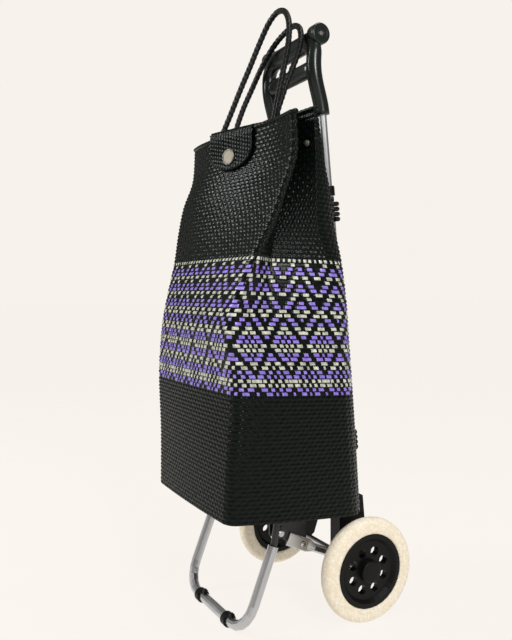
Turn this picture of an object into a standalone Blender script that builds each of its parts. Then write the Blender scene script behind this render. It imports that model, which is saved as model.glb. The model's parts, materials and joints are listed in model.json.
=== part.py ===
"""A two-wheeled shopping trolley: a woven bag on a light folding frame.

Metres, +Z up. Everything is laid out in the axle frame: X along the axle, Y towards the back of the
trolley, Z up from the axle's centre. The empty trolley_frame carries that frame to its place, so that
the wheels stand on Z = 0 and the whole depth is centred on Y = 0.
"""

import math
from typing import NamedTuple

import bmesh
import bpy
from mathutils import Matrix, Vector

# Driving dimensions
GAP = 0.0003                    # between pieces that touch

WHEEL_RADIUS = 0.0825
WHEEL_TRACK = 0.2777            # between the middles of the two tyres
TYRE_WIDTH = 0.024
TYRE_SEAT_RADIUS = 0.0585
HUB_WIDTH = 0.0225
HUB_RIM = 0.0085                # thickness of the hub's outer rim
HUB_WEB = 0.011                 # thickness of the hub's disc
HUB_HOLES = 8
HUB_HOLE_RADIUS = 0.0076
HUB_HOLE_CIRCLE = 0.031
BOSS_RADIUS = 0.0155
BOSS_LENGTH = 0.0236
CAP_RADIUS = 0.0178
CAP_HEIGHT = 0.0036
CAP_WALL = 0.0016
AXLE_RADIUS = 0.005
AXLE_PLAY = 0.0003

FRAME_LEAN = math.radians(5.5)  # the uprights lean forwards as they rise
UPRIGHT_X = 0.072
UPRIGHT_SET_BACK = 0.0314       # the uprights' line behind the axle, at the axle's height
OUTER_TUBE_RADIUS = 0.008
OUTER_TUBE_WALL = 0.0008
INNER_TUBE_WALL = 0.0008
TUBE_PLAY = 0.0003
UPRIGHT_FOOT = -0.068           # below the bag floor
UPRIGHT_TOP = 0.5160            # above the bag floor
INNER_TUBE_BOTTOM = 0.25
COLLAR_RADIUS = 0.0105
COLLAR_LENGTH = 0.012

FLOOR_CLEARANCE = 0.0035        # from the top of the wheels up to the bag floor, over the axle
FLOOR_RISE = math.radians(4.9)  # the floor rises towards the front
PLATFORM_THICKNESS = 0.005
PLATFORM_HALF_WIDTH = 0.118
PLATFORM_FRONT = -0.222
PLATFORM_BACK = 0.009

BLOCK_INNER_X = 0.058
BLOCK_OUTER_X = 0.0845
BLOCK_WALL = 0.0034             # behind the upright
BLOCK_FRONT = -0.013
BLOCK_UNDER = 0.019             # flat underside below the axle
BRACKET_X = 0.089
BRACKET_THICKNESS = 0.003
BRACE_X = 0.0925
BRACE_HALF_HEIGHT = 0.00675
BRACE_HALF_WIDTH = 0.006
BRACE_FLAT = 0.0034
BRACE_END_Y = -0.1154           # front end of the brace
BRACE_END_DROP = 0.0320         # below the bag floor, over the axle
RIVET_BACK = 0.0290             # rivet behind the brace's front end
RIVET_RADIUS = 0.0028
STAND_PIVOT_Y = -0.135
STAND_PIVOT_DROP = 0.0165       # below the bag floor, over the axle

STAND_LEG_X = 0.107
STAND_TUBE_RADIUS = 0.008
STAND_TUBE_WALL = 0.0012
STAND_BEND = 0.042
STAND_LEG_TOP_Y = -0.1501
STAND_LEG_TOP_DROP = 0.0328     # below the bag floor, over the axle
STAND_BAR_Y = -0.1995
STRUT_RADIUS = 0.0052
STRUT_DEPTH = 0.021
STRUT_TOP_Y = -0.1428
EAR_X = 0.101
EAR_THICKNESS = 0.005
BOLT_RADIUS = 0.003
BOLT_HEAD_RADIUS = 0.0052
CLIP_RADIUS = 0.011
CLIP_LENGTH = 0.014
CLIP_X = 0.050
PLUG_OFFSET = 0.0130

HANDLE_X = 0.072
HANDLE_FOOT = 0.6315            # heights above the bag floor, over the axle
HANDLE_BAR = 0.7485
HANDLE_RUNG = 0.7035
HANDLE_ARM_RADIUS = 0.012
HANDLE_CORNER = 0.026
HANDLE_FORWARD = 0.0085         # how far the arms bow forward of the uprights' line
HANDLE_SOCKET = 0.040
BAR_HALF_HEIGHT = 0.0165
BAR_HALF_DEPTH = 0.010
RUNG_HALF_HEIGHT = 0.0138
RUNG_HALF_DEPTH = 0.0082
BOSS_DISC_RADIUS = 0.0165
BOSS_DISC_X = (0.064, 0.0838)
BOSS_DISC_BACK = 0.0045         # behind the arm's middle
BOSS_DISC_UP = 0.0065
SCREW_RADIUS = 0.0034
SCREW_RECESS = 0.0044

BAG_FRONT = -0.241
BAG_HALF_WIDTH = 0.147
BAG_WALL = 0.003
BAG_BACK_GAP = 0.0045           # between the uprights and the bag's back
BAG_SIDE_BULGE = 0.003
BAG_FRONT_BULGE = 0.004

TIE_HEIGHTS = (0.0895, 0.4620)  # lower edges of the cord lashings, above the bag floor
TIE_LENGTH = 0.040
TIE_THICKNESS = 0.0078
TIE_FRONT = 0.0035

TAB_MIDDLE = -0.006
TAB_HALF_WIDTH = 0.046
TAB_THICKNESS = 0.003
TAB_STAND_OFF = 0.0035
TAB_END = 0.5485                # height of the tab's rounded end above the bag floor
SNAP_RADIUS = 0.013
SNAP_HEIGHT = 0.5675
SNAP_THICKNESS = 0.0022
SOCKET_RADIUS = 0.0055
SOCKET_THICKNESS = 0.0012
GUSSET_SNAP_LEVEL = 8.25        # place in the table of bag levels
GUSSET_SNAP_PLACE = 0.72        # along the fold's rear half, from its valley
GUSSET_SNAP_OFF = 0.0022

ROPE_RADIUS = 0.0046
ROPE_POINT_SPACING = 0.020

ROUND_STEPS = 32
TUBE_STEPS = 12
SMALL_STEPS = 12


class BagLevel(NamedTuple):
    """One level of the bag: what a tape and a square would read there."""

    front_height: float         # above the bag floor, at the front corners
    back_height: float
    front_in: float             # front panel behind the bag's foremost plane
    lean: float                 # right half of the front panel behind the left half
    wave: float                 # depth of the S-shaped ripple across the front panel
    widen: float                # half width over the nominal half width
    fold: float                 # how far the side's gusset folds in
    fold_at: float              # where the gusset's valley lies, 0 at the front to 1 at the back
    back_in: float              # back panel forward of the uprights
    front_radius: float
    back_radius: float


BAG_LEVELS = (
    BagLevel(0.0206, -0.0006, 0.0000, 0.0000, 0.000, -0.008, 0.000, 0.35, 0.000, 0.016, 0.050),
    BagLevel(0.1150, 0.0990, 0.0035, 0.0010, 0.000, -0.004, 0.000, 0.35, 0.000, 0.016, 0.050),
    BagLevel(0.2125, 0.1975, 0.0060, 0.0040, 0.000, -0.001, 0.000, 0.35, 0.000, 0.014, 0.050),
    BagLevel(0.2925, 0.2835, 0.0045, -0.0050, 0.000, 0.000, 0.008, 0.33, 0.000, 0.012, 0.048),
    BagLevel(0.3425, 0.3345, 0.0150, -0.0045, 0.000, 0.000, 0.018, 0.31, 0.000, 0.011, 0.045),
    BagLevel(0.4015, 0.3955, 0.0360, 0.0020, 0.001, 0.000, 0.029, 0.30, 0.000, 0.010, 0.050),
    BagLevel(0.4495, 0.4475, 0.0535, 0.0110, 0.003, 0.001, 0.036, 0.32, 0.004, 0.009, 0.058),
    BagLevel(0.4985, 0.5015, 0.0690, 0.0150, 0.006, 0.002, 0.042, 0.38, 0.014, 0.008, 0.044),
    BagLevel(0.5475, 0.5555, 0.0870, 0.0140, 0.010, 0.003, 0.048, 0.50, 0.032, 0.008, 0.022),
    BagLevel(0.6065, 0.6215, 0.0895, 0.0105, 0.013, 0.004, 0.054, 0.60, 0.043, 0.007, 0.008),
)
BAG_RINGS = 16

# Each rope's route, as X, Y and height above the bag floor
ROPE_FRONT_ROUTE = (
    (-0.082, -0.150, 0.5965), (-0.077, -0.140, 0.6235), (-0.070, -0.128, 0.6565), (-0.062, -0.115, 0.6935),
    (-0.053, -0.101, 0.7315), (-0.044, -0.088, 0.7685), (-0.031, -0.077, 0.8005), (-0.012, -0.072, 0.8135),
    (0.012, -0.0735, 0.8085), (0.034, -0.079, 0.7930), (0.050, -0.085, 0.7710), (0.0590, -0.092, 0.7390),
    (0.063, -0.101, 0.7060), (0.0635, -0.112, 0.6600), (0.0615, -0.121, 0.6150), (0.059, -0.1235, 0.5885),
)
ROPE_BACK_ROUTE = (
    (-0.085, -0.1170, 0.5940), (-0.087, -0.1110, 0.6300), (-0.088, -0.0970, 0.6680), (-0.083, -0.082, 0.7035),
    (-0.069, -0.073, 0.7330), (-0.050, -0.067, 0.7560), (-0.028, -0.0615, 0.7730), (-0.004, -0.059, 0.7815),
    (0.022, -0.0595, 0.7830), (0.044, -0.062, 0.7720), (0.056, -0.067, 0.7500), (0.0590, -0.076, 0.7220),
    (0.0560, -0.088, 0.6910), (0.0520, -0.098, 0.6610), (0.0490, -0.1075, 0.6290), (0.0480, -0.1100, 0.6000),
)

FLOOR = WHEEL_RADIUS + FLOOR_CLEARANCE
# Y and Z from the axle. The underframe hangs from the bag floor, so it follows the size of the wheels
BRACE_END = (BRACE_END_Y, FLOOR - BRACE_END_DROP)
STAND_PIVOT = (STAND_PIVOT_Y, FLOOR - STAND_PIVOT_DROP)
STAND_LEG_TOP = (STAND_LEG_TOP_Y, FLOOR - STAND_LEG_TOP_DROP)
INNER_TUBE_RADIUS = OUTER_TUBE_RADIUS - OUTER_TUBE_WALL - TUBE_PLAY
# Nothing reaches further back than the tyres or further forward than the bag's bulged front
CENTRING = (-(BAG_FRONT - BAG_FRONT_BULGE) - WHEEL_RADIUS) / 2


def upright_y(height):
    """Y of the uprights' middle line at a height above the axle."""
    return UPRIGHT_SET_BACK - height * math.tan(FRAME_LEAN)


def floor_z(y):
    """Height of the bag floor above the axle at Y."""
    return FLOOR - y * math.tan(FLOOR_RISE)


# Scene and mesh helpers

def clear_scene():
    for obj in list(bpy.data.objects):
        bpy.data.objects.remove(obj, do_unlink=True)


def make_material(name, colour, roughness, metallic=0.0):
    material = bpy.data.materials.new(name)
    material.use_nodes = True
    shader = material.node_tree.nodes["Principled BSDF"]
    shader.inputs["Base Color"].default_value = (*colour, 1.0)
    shader.inputs["Roughness"].default_value = roughness
    shader.inputs["Metallic"].default_value = metallic
    material.diffuse_color = (*colour, 1.0)
    return material


def make_materials():
    return {
        "tube": make_material("zinc_plated_steel", (0.66, 0.66, 0.67), 0.25, 1.0),
        "steel": make_material("black_steel", (0.02, 0.022, 0.022), 0.45, 0.4),
        "screw": make_material("screw_steel", (0.6, 0.6, 0.6), 0.3, 1.0),
        "brass": make_material("pale_brass", (0.60, 0.54, 0.40), 0.3, 1.0),
        "grip": make_material("gloss_black_plastic", (0.012, 0.016, 0.014), 0.18),
        "plastic": make_material("black_plastic", (0.015, 0.016, 0.016), 0.4),
        "tyre": make_material("cream_foam", (0.74, 0.66, 0.52), 0.75),
        "weave": make_material("woven_black_plastic", (0.012, 0.016, 0.013), 0.4),
        "rope": make_material("braided_black_plastic", (0.010, 0.010, 0.012), 0.45),
    }


def make_empty(name, location, parent=None):
    empty = bpy.data.objects.new(name, None)
    bpy.context.scene.collection.objects.link(empty)
    empty.location = location
    empty.parent = parent
    return empty


def place(name, verts, faces, material, parent, location=(0, 0, 0)):
    """An object made of one closed mesh, with its faces turned outwards."""
    mesh = bpy.data.meshes.new(name)
    bm = bmesh.new()
    corners = [bm.verts.new(v) for v in verts]
    for face in faces:
        bm.faces.new([corners[i] for i in face])
    bmesh.ops.recalc_face_normals(bm, faces=bm.faces[:])
    bm.to_mesh(mesh)
    bm.free()
    mesh.shade_smooth()
    mesh.set_sharp_from_angle(angle=math.radians(32))
    obj = bpy.data.objects.new(name, mesh)
    bpy.context.scene.collection.objects.link(obj)
    obj.location = location
    obj.parent = parent
    if material is not None:
        mesh.materials.append(material)
    return obj


def join_or_cut(obj, tool, operation):
    """Adds a Boolean whose tool stays in the scene as a hidden wire."""
    tool.hide_render = True
    tool.display_type = "WIRE"
    modifier = obj.modifiers.new(operation.lower(), "BOOLEAN")
    modifier.operation = operation
    modifier.solver = "EXACT"
    modifier.object = tool


def turned(profile, steps=ROUND_STEPS):
    """A closed outline of (x, radius) points turned round the X axis."""
    verts, faces = [], []
    count = len(profile)
    for step in range(steps):
        angle = 2 * math.pi * step / steps
        verts += [(x, r * math.cos(angle), r * math.sin(angle)) for x, r in profile]
    for step in range(steps):
        here, there = step * count, (step + 1) % steps * count
        for i in range(count):
            j = (i + 1) % count
            faces.append((here + i, here + j, there + j, there + i))
    return verts, faces


def rod(x0, x1, radius, steps=TUBE_STEPS):
    """A plain cylinder along X."""
    verts = [(x, radius * math.cos(2 * math.pi * k / steps), radius * math.sin(2 * math.pi * k / steps))
             for x in (x0, x1) for k in range(steps)]
    faces = [tuple(range(steps)), tuple(range(steps, 2 * steps))]
    faces += [(k, (k + 1) % steps, steps + (k + 1) % steps, steps + k) for k in range(steps)]
    return verts, faces


def prism(outline, x0, x1):
    """An outline of (y, z) points extruded along X."""
    count = len(outline)
    verts = [(x, y, z) for x in (x0, x1) for y, z in outline]
    faces = [tuple(range(count)), tuple(range(count, 2 * count))]
    faces += [(k, (k + 1) % count, count + (k + 1) % count, count + k) for k in range(count)]
    return verts, faces


def moved(shape, offset):
    """A shape's corners moved by an offset."""
    verts, faces = shape
    return [tuple(Vector(v) + Vector(offset)) for v in verts], faces


def loft(rings, closed=False):
    """Rings of equally many points joined in order, capped at both ends or closed on themselves."""
    count = len(rings[0])
    verts = [tuple(point) for ring in rings for point in ring]
    faces = []
    for k in range(len(rings) if closed else len(rings) - 1):
        here, there = k * count, (k + 1) % len(rings) * count
        for i in range(count):
            j = (i + 1) % count
            faces.append((here + i, here + j, there + j, there + i))
    if not closed:
        faces += [tuple(range(count)), tuple(range((len(rings) - 1) * count, len(rings) * count))]
    return verts, faces


def rounded_path(points, radius, steps=6):
    """A polyline whose inner corners are replaced by arcs."""
    points = [Vector(p) for p in points]
    path = [points[0]]
    for before, corner, after in zip(points, points[1:], points[2:]):
        back, on = (before - corner).normalized(), (after - corner).normalized()
        half = back.angle(on) / 2
        reach = radius / math.tan(half)
        middle = corner + (back + on).normalized() * (radius / math.sin(half))
        start, end = corner + back * reach - middle, corner + on * reach - middle
        turn = start.angle(end)
        axis = start.cross(end).normalized()
        path += [middle + Matrix.Rotation(turn * k / steps, 3, axis) @ start for k in range(steps + 1)]
    return path + [points[-1]]


def swept_rings(path, across, radii, steps=TUBE_STEPS):
    """Rings of elliptical section along a path. `across` is the section's first axis, and each of the
    radii is the half sizes along it and along the second axis."""
    rings = []
    for k, point in enumerate(path):
        ahead, behind = path[min(k + 1, len(path) - 1)], path[max(k - 1, 0)]
        tangent = (Vector(ahead) - Vector(behind)).normalized()
        first = (Vector(across) - tangent * tangent.dot(Vector(across))).normalized()
        second = tangent.cross(first)
        a, b = radii[k]
        rings.append([Vector(point) + first * a * math.cos(t) + second * b * math.sin(t)
                      for t in (2 * math.pi * i / steps for i in range(steps))])
    return rings


def hollow_tube(path, across, outer, wall, steps=TUBE_STEPS):
    """A tube open at both ends: out along the outside, back along the inside."""
    outside = swept_rings(path, across, [(outer, outer)] * len(path), steps)
    inside = swept_rings(path, across, [(outer - wall, outer - wall)] * len(path), steps)
    return loft(outside + inside[::-1], closed=True)


def smooth_route(route, spacing):
    """Points at an even spacing on a Catmull-Rom curve through the route."""
    points = [Vector(p) for p in route]
    points = [2 * points[0] - points[1]] + points + [2 * points[-1] - points[-2]]
    fine = []
    for a, b, c, d in zip(points, points[1:], points[2:], points[3:]):
        for k in range(12):
            t = k / 12
            fine.append(0.5 * (2 * b + (c - a) * t + (2 * a - 5 * b + 4 * c - d) * t * t
                               + (3 * b - a - 3 * c + d) * t ** 3))
    fine.append(points[-2])
    length = sum((b - a).length for a, b in zip(fine, fine[1:]))
    count = round(length / spacing)
    even, walked, target = [fine[0]], 0.0, length / count
    for a, b in zip(fine, fine[1:]):
        step = (b - a).length
        while walked + step >= target * len(even) and len(even) < count:
            even.append(a.lerp(b, (target * len(even) - walked) / step))
        walked += step
    return even + [fine[-1]]


# Wheels

def hub_profile():
    """Half-section of the hub: rim, disc and boss, clockwise from the rim's outer edge."""
    rim, web, boss = HUB_WIDTH / 2, HUB_WEB / 2, BOSS_LENGTH / 2
    inner_rim = TYRE_SEAT_RADIUS - HUB_RIM
    bore = AXLE_RADIUS + AXLE_PLAY
    side = [(rim, TYRE_SEAT_RADIUS - 0.001), (rim, inner_rim + 0.001), (web, inner_rim - 0.004),
            (web, BOSS_RADIUS + 0.002), (boss, BOSS_RADIUS), (boss, bore)]
    return [(rim - 0.001, TYRE_SEAT_RADIUS)] + side + [(-x, r) for x, r in reversed(side)] + [
        (-rim + 0.001, TYRE_SEAT_RADIUS)]


def tyre_profile():
    """Section of the foam tyre: a flat seat and a rounded tread."""
    half, seat = TYRE_WIDTH / 2, TYRE_SEAT_RADIUS + GAP
    shoulder = WHEEL_RADIUS - half * 0.72
    outline = [(-half + 0.001, seat), (half - 0.001, seat), (half, seat + 0.003), (half, shoulder)]
    rise = WHEEL_RADIUS - shoulder
    for k in range(1, 6):
        angle = math.pi * k / 6
        outline.append((half * math.cos(angle), shoulder + rise * math.sin(angle)))
    return outline + [(-half, shoulder), (-half, seat + 0.003)]


def cap_profile(side):
    """The snap-on hub cap, hollow behind, over the end of the axle."""
    face = BOSS_LENGTH / 2 + GAP
    top = face + CAP_HEIGHT
    outline = [(face, CAP_RADIUS), (top - 0.0015, CAP_RADIUS), (top - 0.0004, CAP_RADIUS - 0.002),
               (top, CAP_RADIUS * 0.5), (top, 0.0008), (top - CAP_WALL, 0.0008),
               (top - CAP_WALL, CAP_RADIUS - CAP_WALL), (face, CAP_RADIUS - CAP_WALL)]
    return [(side * x, r) for x, r in outline]


def make_wheel(side, name, materials, parent):
    """Hub, tyre and cap of one wheel, all on the empty at its centre."""
    centre = make_empty(f"wheel_{name}_axis", (side * WHEEL_TRACK / 2, 0, 0), parent)
    hub = place(f"hub_{name}", *turned(hub_profile()), materials["plastic"], centre)
    verts, faces = [], []
    for k in range(HUB_HOLES):
        angle = 2 * math.pi * (k + 0.5) / HUB_HOLES
        offset = (0, HUB_HOLE_CIRCLE * math.cos(angle), HUB_HOLE_CIRCLE * math.sin(angle))
        more, quads = moved(rod(-HUB_WIDTH, HUB_WIDTH, HUB_HOLE_RADIUS, SMALL_STEPS), offset)
        faces += [tuple(i + len(verts) for i in quad) for quad in quads]
        verts += more
    holes = place(f"hub_holes_{name}", verts, faces, None, centre)
    join_or_cut(hub, holes, "DIFFERENCE")
    place(f"tyre_{name}", *turned(tyre_profile()), materials["tyre"], centre)
    cap = place(f"hub_cap_{name}", *turned(cap_profile(side), 24), materials["plastic"], centre)
    plug = place(f"cap_middle_{name}",
                 *rod(side * (BOSS_LENGTH / 2 + GAP + CAP_HEIGHT - CAP_WALL),
                      side * (BOSS_LENGTH / 2 + GAP + CAP_HEIGHT), 0.004), None, centre)
    join_or_cut(cap, plug, "UNION")


def make_axle(materials, parent):
    end = WHEEL_TRACK / 2 + BOSS_LENGTH / 2 + 0.0018
    place("axle", *rod(-end, end, AXLE_RADIUS, ROUND_STEPS), materials["tube"], parent)
    for side, name in ((-1, "left"), (1, "right")):
        inner = BRACE_X + BRACE_FLAT / 2 + GAP
        outer = (WHEEL_TRACK - BOSS_LENGTH) / 2 - GAP
        bore, skin = AXLE_RADIUS + GAP, AXLE_RADIUS + 0.0035
        ring = [(side * inner, bore), (side * inner, skin), (side * outer, skin), (side * outer, bore)]
        place(f"axle_spacer_{name}", *turned(ring, SMALL_STEPS), materials["plastic"], parent)


# Uprights and handle

def upright_point(side, height, across=UPRIGHT_X):
    """A point on an upright's middle line, at a height above the bag floor."""
    z = FLOOR + height
    return Vector((side * across, upright_y(z), z))


def make_upright(side, name, materials, parent):
    foot, top = upright_point(side, UPRIGHT_FOOT), upright_point(side, UPRIGHT_TOP)
    place(f"upright_{name}", *hollow_tube([foot, top], (1, 0, 0), OUTER_TUBE_RADIUS, OUTER_TUBE_WALL, 16),
          materials["tube"], parent)
    along = (top - foot).normalized()
    lip = top + along * GAP
    rings = []
    for point, radius in ((top - along * COLLAR_LENGTH, COLLAR_RADIUS), (lip + along * 0.002, COLLAR_RADIUS),
                          (lip + along * 0.003, COLLAR_RADIUS - 0.001),
                          (lip + along * 0.003, INNER_TUBE_RADIUS + GAP), (lip, INNER_TUBE_RADIUS + GAP),
                          (lip, OUTER_TUBE_RADIUS + GAP),
                          (top - along * COLLAR_LENGTH, OUTER_TUBE_RADIUS + GAP)):
        second = along.cross(Vector((1, 0, 0)))
        rings.append([point + Vector((radius * math.cos(t), 0, 0)) + second * radius * math.sin(t)
                      for t in (2 * math.pi * i / 16 for i in range(16))])
    place(f"collar_{name}", *loft(rings, closed=True), materials["plastic"], parent)


def make_inner_tube(side, name, materials, parent):
    """The thin tube that slides in an upright and carries one arm of the handle."""
    start = upright_point(side, INNER_TUBE_BOTTOM)
    end = upright_point(side, HANDLE_FOOT + HANDLE_SOCKET - 0.002)
    origin = Vector(parent.location)
    path = [start - origin, end - origin]
    place(f"inner_tube_{name}", *hollow_tube(path, (1, 0, 0), INNER_TUBE_RADIUS, INNER_TUBE_WALL, 16),
          materials["tube"], parent)


def handle_point(x, height):
    """A point on the handle's middle surface, which bows forwards above the tubes' socket."""
    rise = (height - HANDLE_FOOT) / (HANDLE_BAR - HANDLE_FOOT)
    bow = HANDLE_FORWARD * math.sin(math.pi * min(max(rise * 0.86, 0.0), 1.0)) ** 2
    z = FLOOR + height
    return Vector((x, upright_y(z) - bow, z))


def handle_outline():
    """The U of the handle from the left arm's foot, over the bar, to the right arm's foot."""
    flat = rounded_path([(-HANDLE_X, HANDLE_FOOT, 0), (-HANDLE_X, HANDLE_BAR, 0), (HANDLE_X, HANDLE_BAR, 0),
                         (HANDLE_X, HANDLE_FOOT, 0)], HANDLE_CORNER, 5)
    steps = [HANDLE_FOOT + (HANDLE_BAR - HANDLE_CORNER - HANDLE_FOOT) * k / 6 for k in range(1, 6)]
    left = [Vector((-HANDLE_X, h, 0)) for h in steps]
    right = [Vector((HANDLE_X, h, 0)) for h in reversed(steps)]
    return [flat[0]] + left + flat[1:-1] + right + [flat[-1]]


def make_handle(materials, parent):
    origin = Vector(parent.location)
    outline = handle_outline()
    path = [handle_point(p.x, p.y) - origin for p in outline]
    radii = []
    for p in outline:
        share = min(max((p.y - (HANDLE_BAR - HANDLE_CORNER)) / HANDLE_CORNER, 0.0), 1.0)
        radii.append((HANDLE_ARM_RADIUS + (BAR_HALF_DEPTH - HANDLE_ARM_RADIUS) * share,
                      HANDLE_ARM_RADIUS + (BAR_HALF_HEIGHT - HANDLE_ARM_RADIUS) * share))
    grip = place("handle_grip", *loft(swept_rings(path, (0, 1, 0), radii)), materials["grip"], parent)
    rung = [handle_point(x, HANDLE_RUNG) - origin for x in (-HANDLE_X, 0, HANDLE_X)]
    rung_rings = swept_rings(rung, (0, 1, 0), [(RUNG_HALF_DEPTH, RUNG_HALF_HEIGHT)] * 3)
    bar = place("handle_rung_tool", *loft(rung_rings), None, parent)
    join_or_cut(grip, bar, "UNION")
    for side, name in ((-1, "left"), (1, "right")):
        arm = handle_point(side * HANDLE_X, HANDLE_BAR) - origin
        disc_centre = Vector((0, arm.y + BOSS_DISC_BACK, arm.z + BOSS_DISC_UP))
        inner, outer = BOSS_DISC_X
        disc = place(f"handle_boss_tool_{name}",
                     *moved(rod(side * inner, side * outer, BOSS_DISC_RADIUS, 20), disc_centre), None, parent)
        join_or_cut(grip, disc, "UNION")
        recess_x = (outer - 0.006, outer + 0.006)
        recess = place(f"screw_recess_tool_{name}",
                       *moved(rod(side * recess_x[0], side * recess_x[1], SCREW_RECESS), disc_centre),
                       None, parent)
        join_or_cut(grip, recess, "DIFFERENCE")
        bottom = upright_point(side, HANDLE_FOOT - 0.02) - origin
        top = upright_point(side, HANDLE_FOOT + HANDLE_SOCKET) - origin
        bore = INNER_TUBE_RADIUS + GAP
        socket = place(f"tube_socket_tool_{name}",
                       *loft(swept_rings([bottom, top], (1, 0, 0), [(bore, bore)] * 2, 16)), None, parent)
        join_or_cut(grip, socket, "DIFFERENCE")
        head = moved(rod(side * (recess_x[0] + GAP), side * (outer - 0.0015), SCREW_RADIUS), disc_centre)
        place(f"handle_screw_{name}", *head, materials["screw"], parent)


# Base: blocks, platform, brackets and braces

def block_outline():
    """Side view of a base block: a foot round the axle, a shelf under the platform, a socket behind."""
    shelf = -PLATFORM_THICKNESS - 2 * GAP
    riser_front = upright_y(FLOOR) - OUTER_TUBE_RADIUS - BAG_BACK_GAP + 0.001
    top, low = FLOOR + 0.0135, 0.024
    back = OUTER_TUBE_RADIUS + GAP + BLOCK_WALL
    return [(riser_front, top), (upright_y(top) + back, top), (upright_y(low) + back, low),
            (0.030, -0.006), (0.012, -BLOCK_UNDER), (-0.011, -BLOCK_UNDER), (BLOCK_FRONT, -0.014),
            (BLOCK_FRONT, floor_z(BLOCK_FRONT) + shelf), (riser_front, floor_z(riser_front) + shelf)]


def make_block(side, name, materials, parent):
    block = place(f"base_block_{name}", *prism(block_outline(), side * BLOCK_INNER_X, side * BLOCK_OUTER_X),
                  materials["plastic"], parent)
    bottom, top = upright_point(side, UPRIGHT_FOOT - 0.001), upright_point(side, 0.05)
    bore = OUTER_TUBE_RADIUS + GAP
    socket = place(f"upright_socket_tool_{name}",
                   *loft(swept_rings([bottom, top], (1, 0, 0), [(bore, bore)] * 2, 16)), None, parent)
    axle_hole = place(f"axle_hole_tool_{name}",
                      *rod(-WHEEL_TRACK, WHEEL_TRACK, AXLE_RADIUS + GAP, ROUND_STEPS), None, parent)
    join_or_cut(block, socket, "DIFFERENCE")
    join_or_cut(block, axle_hole, "DIFFERENCE")


def make_platform(materials, parent):
    """A flat panel under the bag, with rounded front corners."""
    corner, steps, x = 0.025, 5, PLATFORM_HALF_WIDTH
    plan = [(-x, PLATFORM_BACK), (x, PLATFORM_BACK)]
    for side in (1, -1):
        arc = [math.pi / 2 * k / steps for k in range(steps + 1)]
        for angle in arc if side == 1 else reversed(arc):
            plan.append((side * (x - corner + corner * math.cos(angle)),
                         PLATFORM_FRONT + corner - corner * math.sin(angle)))
    top = [(px, py, floor_z(py) - GAP) for px, py in plan]
    bottom = [(px, py, z - PLATFORM_THICKNESS) for px, py, z in top]
    place("platform", *loft([top, bottom]), materials["plastic"], parent)


def brace_path():
    """From the front end down to the axle, in the brace's own plane."""
    front = Vector((BRACE_X, *BRACE_END))
    axle = Vector((BRACE_X, 0, 0))
    along = (axle - front).normalized()
    return front, along, (axle - front).length


def make_brace(side, name, materials, parent):
    """A round tube pinched flat at both ends, riveted to the bracket and hung on the axle."""
    front, along, length = brace_path()
    stations = (
        (0.0, BRACE_FLAT / 2, 0.0105), (RIVET_BACK + 0.010, BRACE_FLAT / 2, 0.0105),
        (RIVET_BACK + 0.022, BRACE_HALF_WIDTH, BRACE_HALF_HEIGHT),
        (length - 0.034, BRACE_HALF_WIDTH, BRACE_HALF_HEIGHT),
        (length - 0.016, BRACE_FLAT / 2, 0.0105), (length + 0.011, BRACE_FLAT / 2, 0.0105))
    path = [front + along * s for s, _, _ in stations]
    path = [Vector((side * p.x, p.y, p.z)) for p in path]
    rings = swept_rings(path, (1, 0, 0), [(a, b) for _, a, b in stations])
    brace = place(f"brace_{name}", *loft(rings), materials["tube"], parent)
    rivet_at = front + along * RIVET_BACK
    hole = place(f"brace_holes_tool_{name}",
                 *moved(rod(side * (BRACE_X - 0.01), side * (BRACE_X + 0.01), RIVET_RADIUS + GAP),
                        (0, rivet_at.y, rivet_at.z)), None, parent)
    eye = place(f"brace_eye_tool_{name}",
                *rod(side * (BRACE_X - 0.01), side * (BRACE_X + 0.01), AXLE_RADIUS + GAP, ROUND_STEPS),
                None, parent)
    join_or_cut(brace, hole, "DIFFERENCE")
    join_or_cut(brace, eye, "DIFFERENCE")
    inner = BRACKET_X - BRACKET_THICKNESS / 2 - GAP
    outer = BRACE_X + BRACE_FLAT / 2 + GAP
    profile = [(inner - 0.0015, 0.0006), (inner - 0.0015, 0.005), (inner, 0.005), (inner, RIVET_RADIUS),
               (outer, RIVET_RADIUS), (outer, 0.0048), (outer + 0.0010, 0.0040), (outer + 0.0020, 0.0006)]
    centre = (0, rivet_at.y, rivet_at.z)
    body = turned([(side * x, r) for x, r in profile], SMALL_STEPS)
    rivet = place(f"brace_rivet_{name}", *moved(body, centre), materials["screw"], parent)
    core = place(f"rivet_core_tool_{name}",
                 *moved(rod(side * (inner - 0.0015), side * (outer + 0.0019), 0.0012), centre),
                 None, parent)
    join_or_cut(rivet, core, "UNION")


def make_bracket(side, name, materials, parent):
    """A steel lug under the platform, which holds the stand's pivot bolt and the brace's rivet."""
    under = -PLATFORM_THICKNESS - 2 * GAP
    front, along, _ = brace_path()
    rivet_at = front + along * RIVET_BACK
    y, z = STAND_PIVOT
    high_front, high_back = y - 0.012, rivet_at.y + 0.008
    outline = [(high_front, floor_z(high_front) + under), (high_front, z - 0.005), (y - 0.005, z - 0.011),
               (y + 0.008, z - 0.011), (rivet_at.y - 0.008, rivet_at.z - 0.009),
               (rivet_at.y + 0.006, rivet_at.z - 0.009),
               (high_back, rivet_at.z), (high_back, floor_z(high_back) + under)]
    half = BRACKET_THICKNESS / 2
    lug = place(f"pivot_bracket_{name}",
                *prism(outline, side * (BRACKET_X - half), side * (BRACKET_X + half)), materials["steel"], parent)
    holes = (("bolt", STAND_PIVOT, BOLT_RADIUS), ("rivet", (rivet_at.y, rivet_at.z), RIVET_RADIUS))
    for tool, (hole_y, hole_z), radius in holes:
        drill = rod(side * (BRACKET_X - 0.01), side * (BRACKET_X + 0.01), radius + GAP)
        hole = place(f"bracket_{tool}_tool_{name}", *moved(drill, (0, hole_y, hole_z)), None, parent)
        join_or_cut(lug, hole, "DIFFERENCE")


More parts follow.
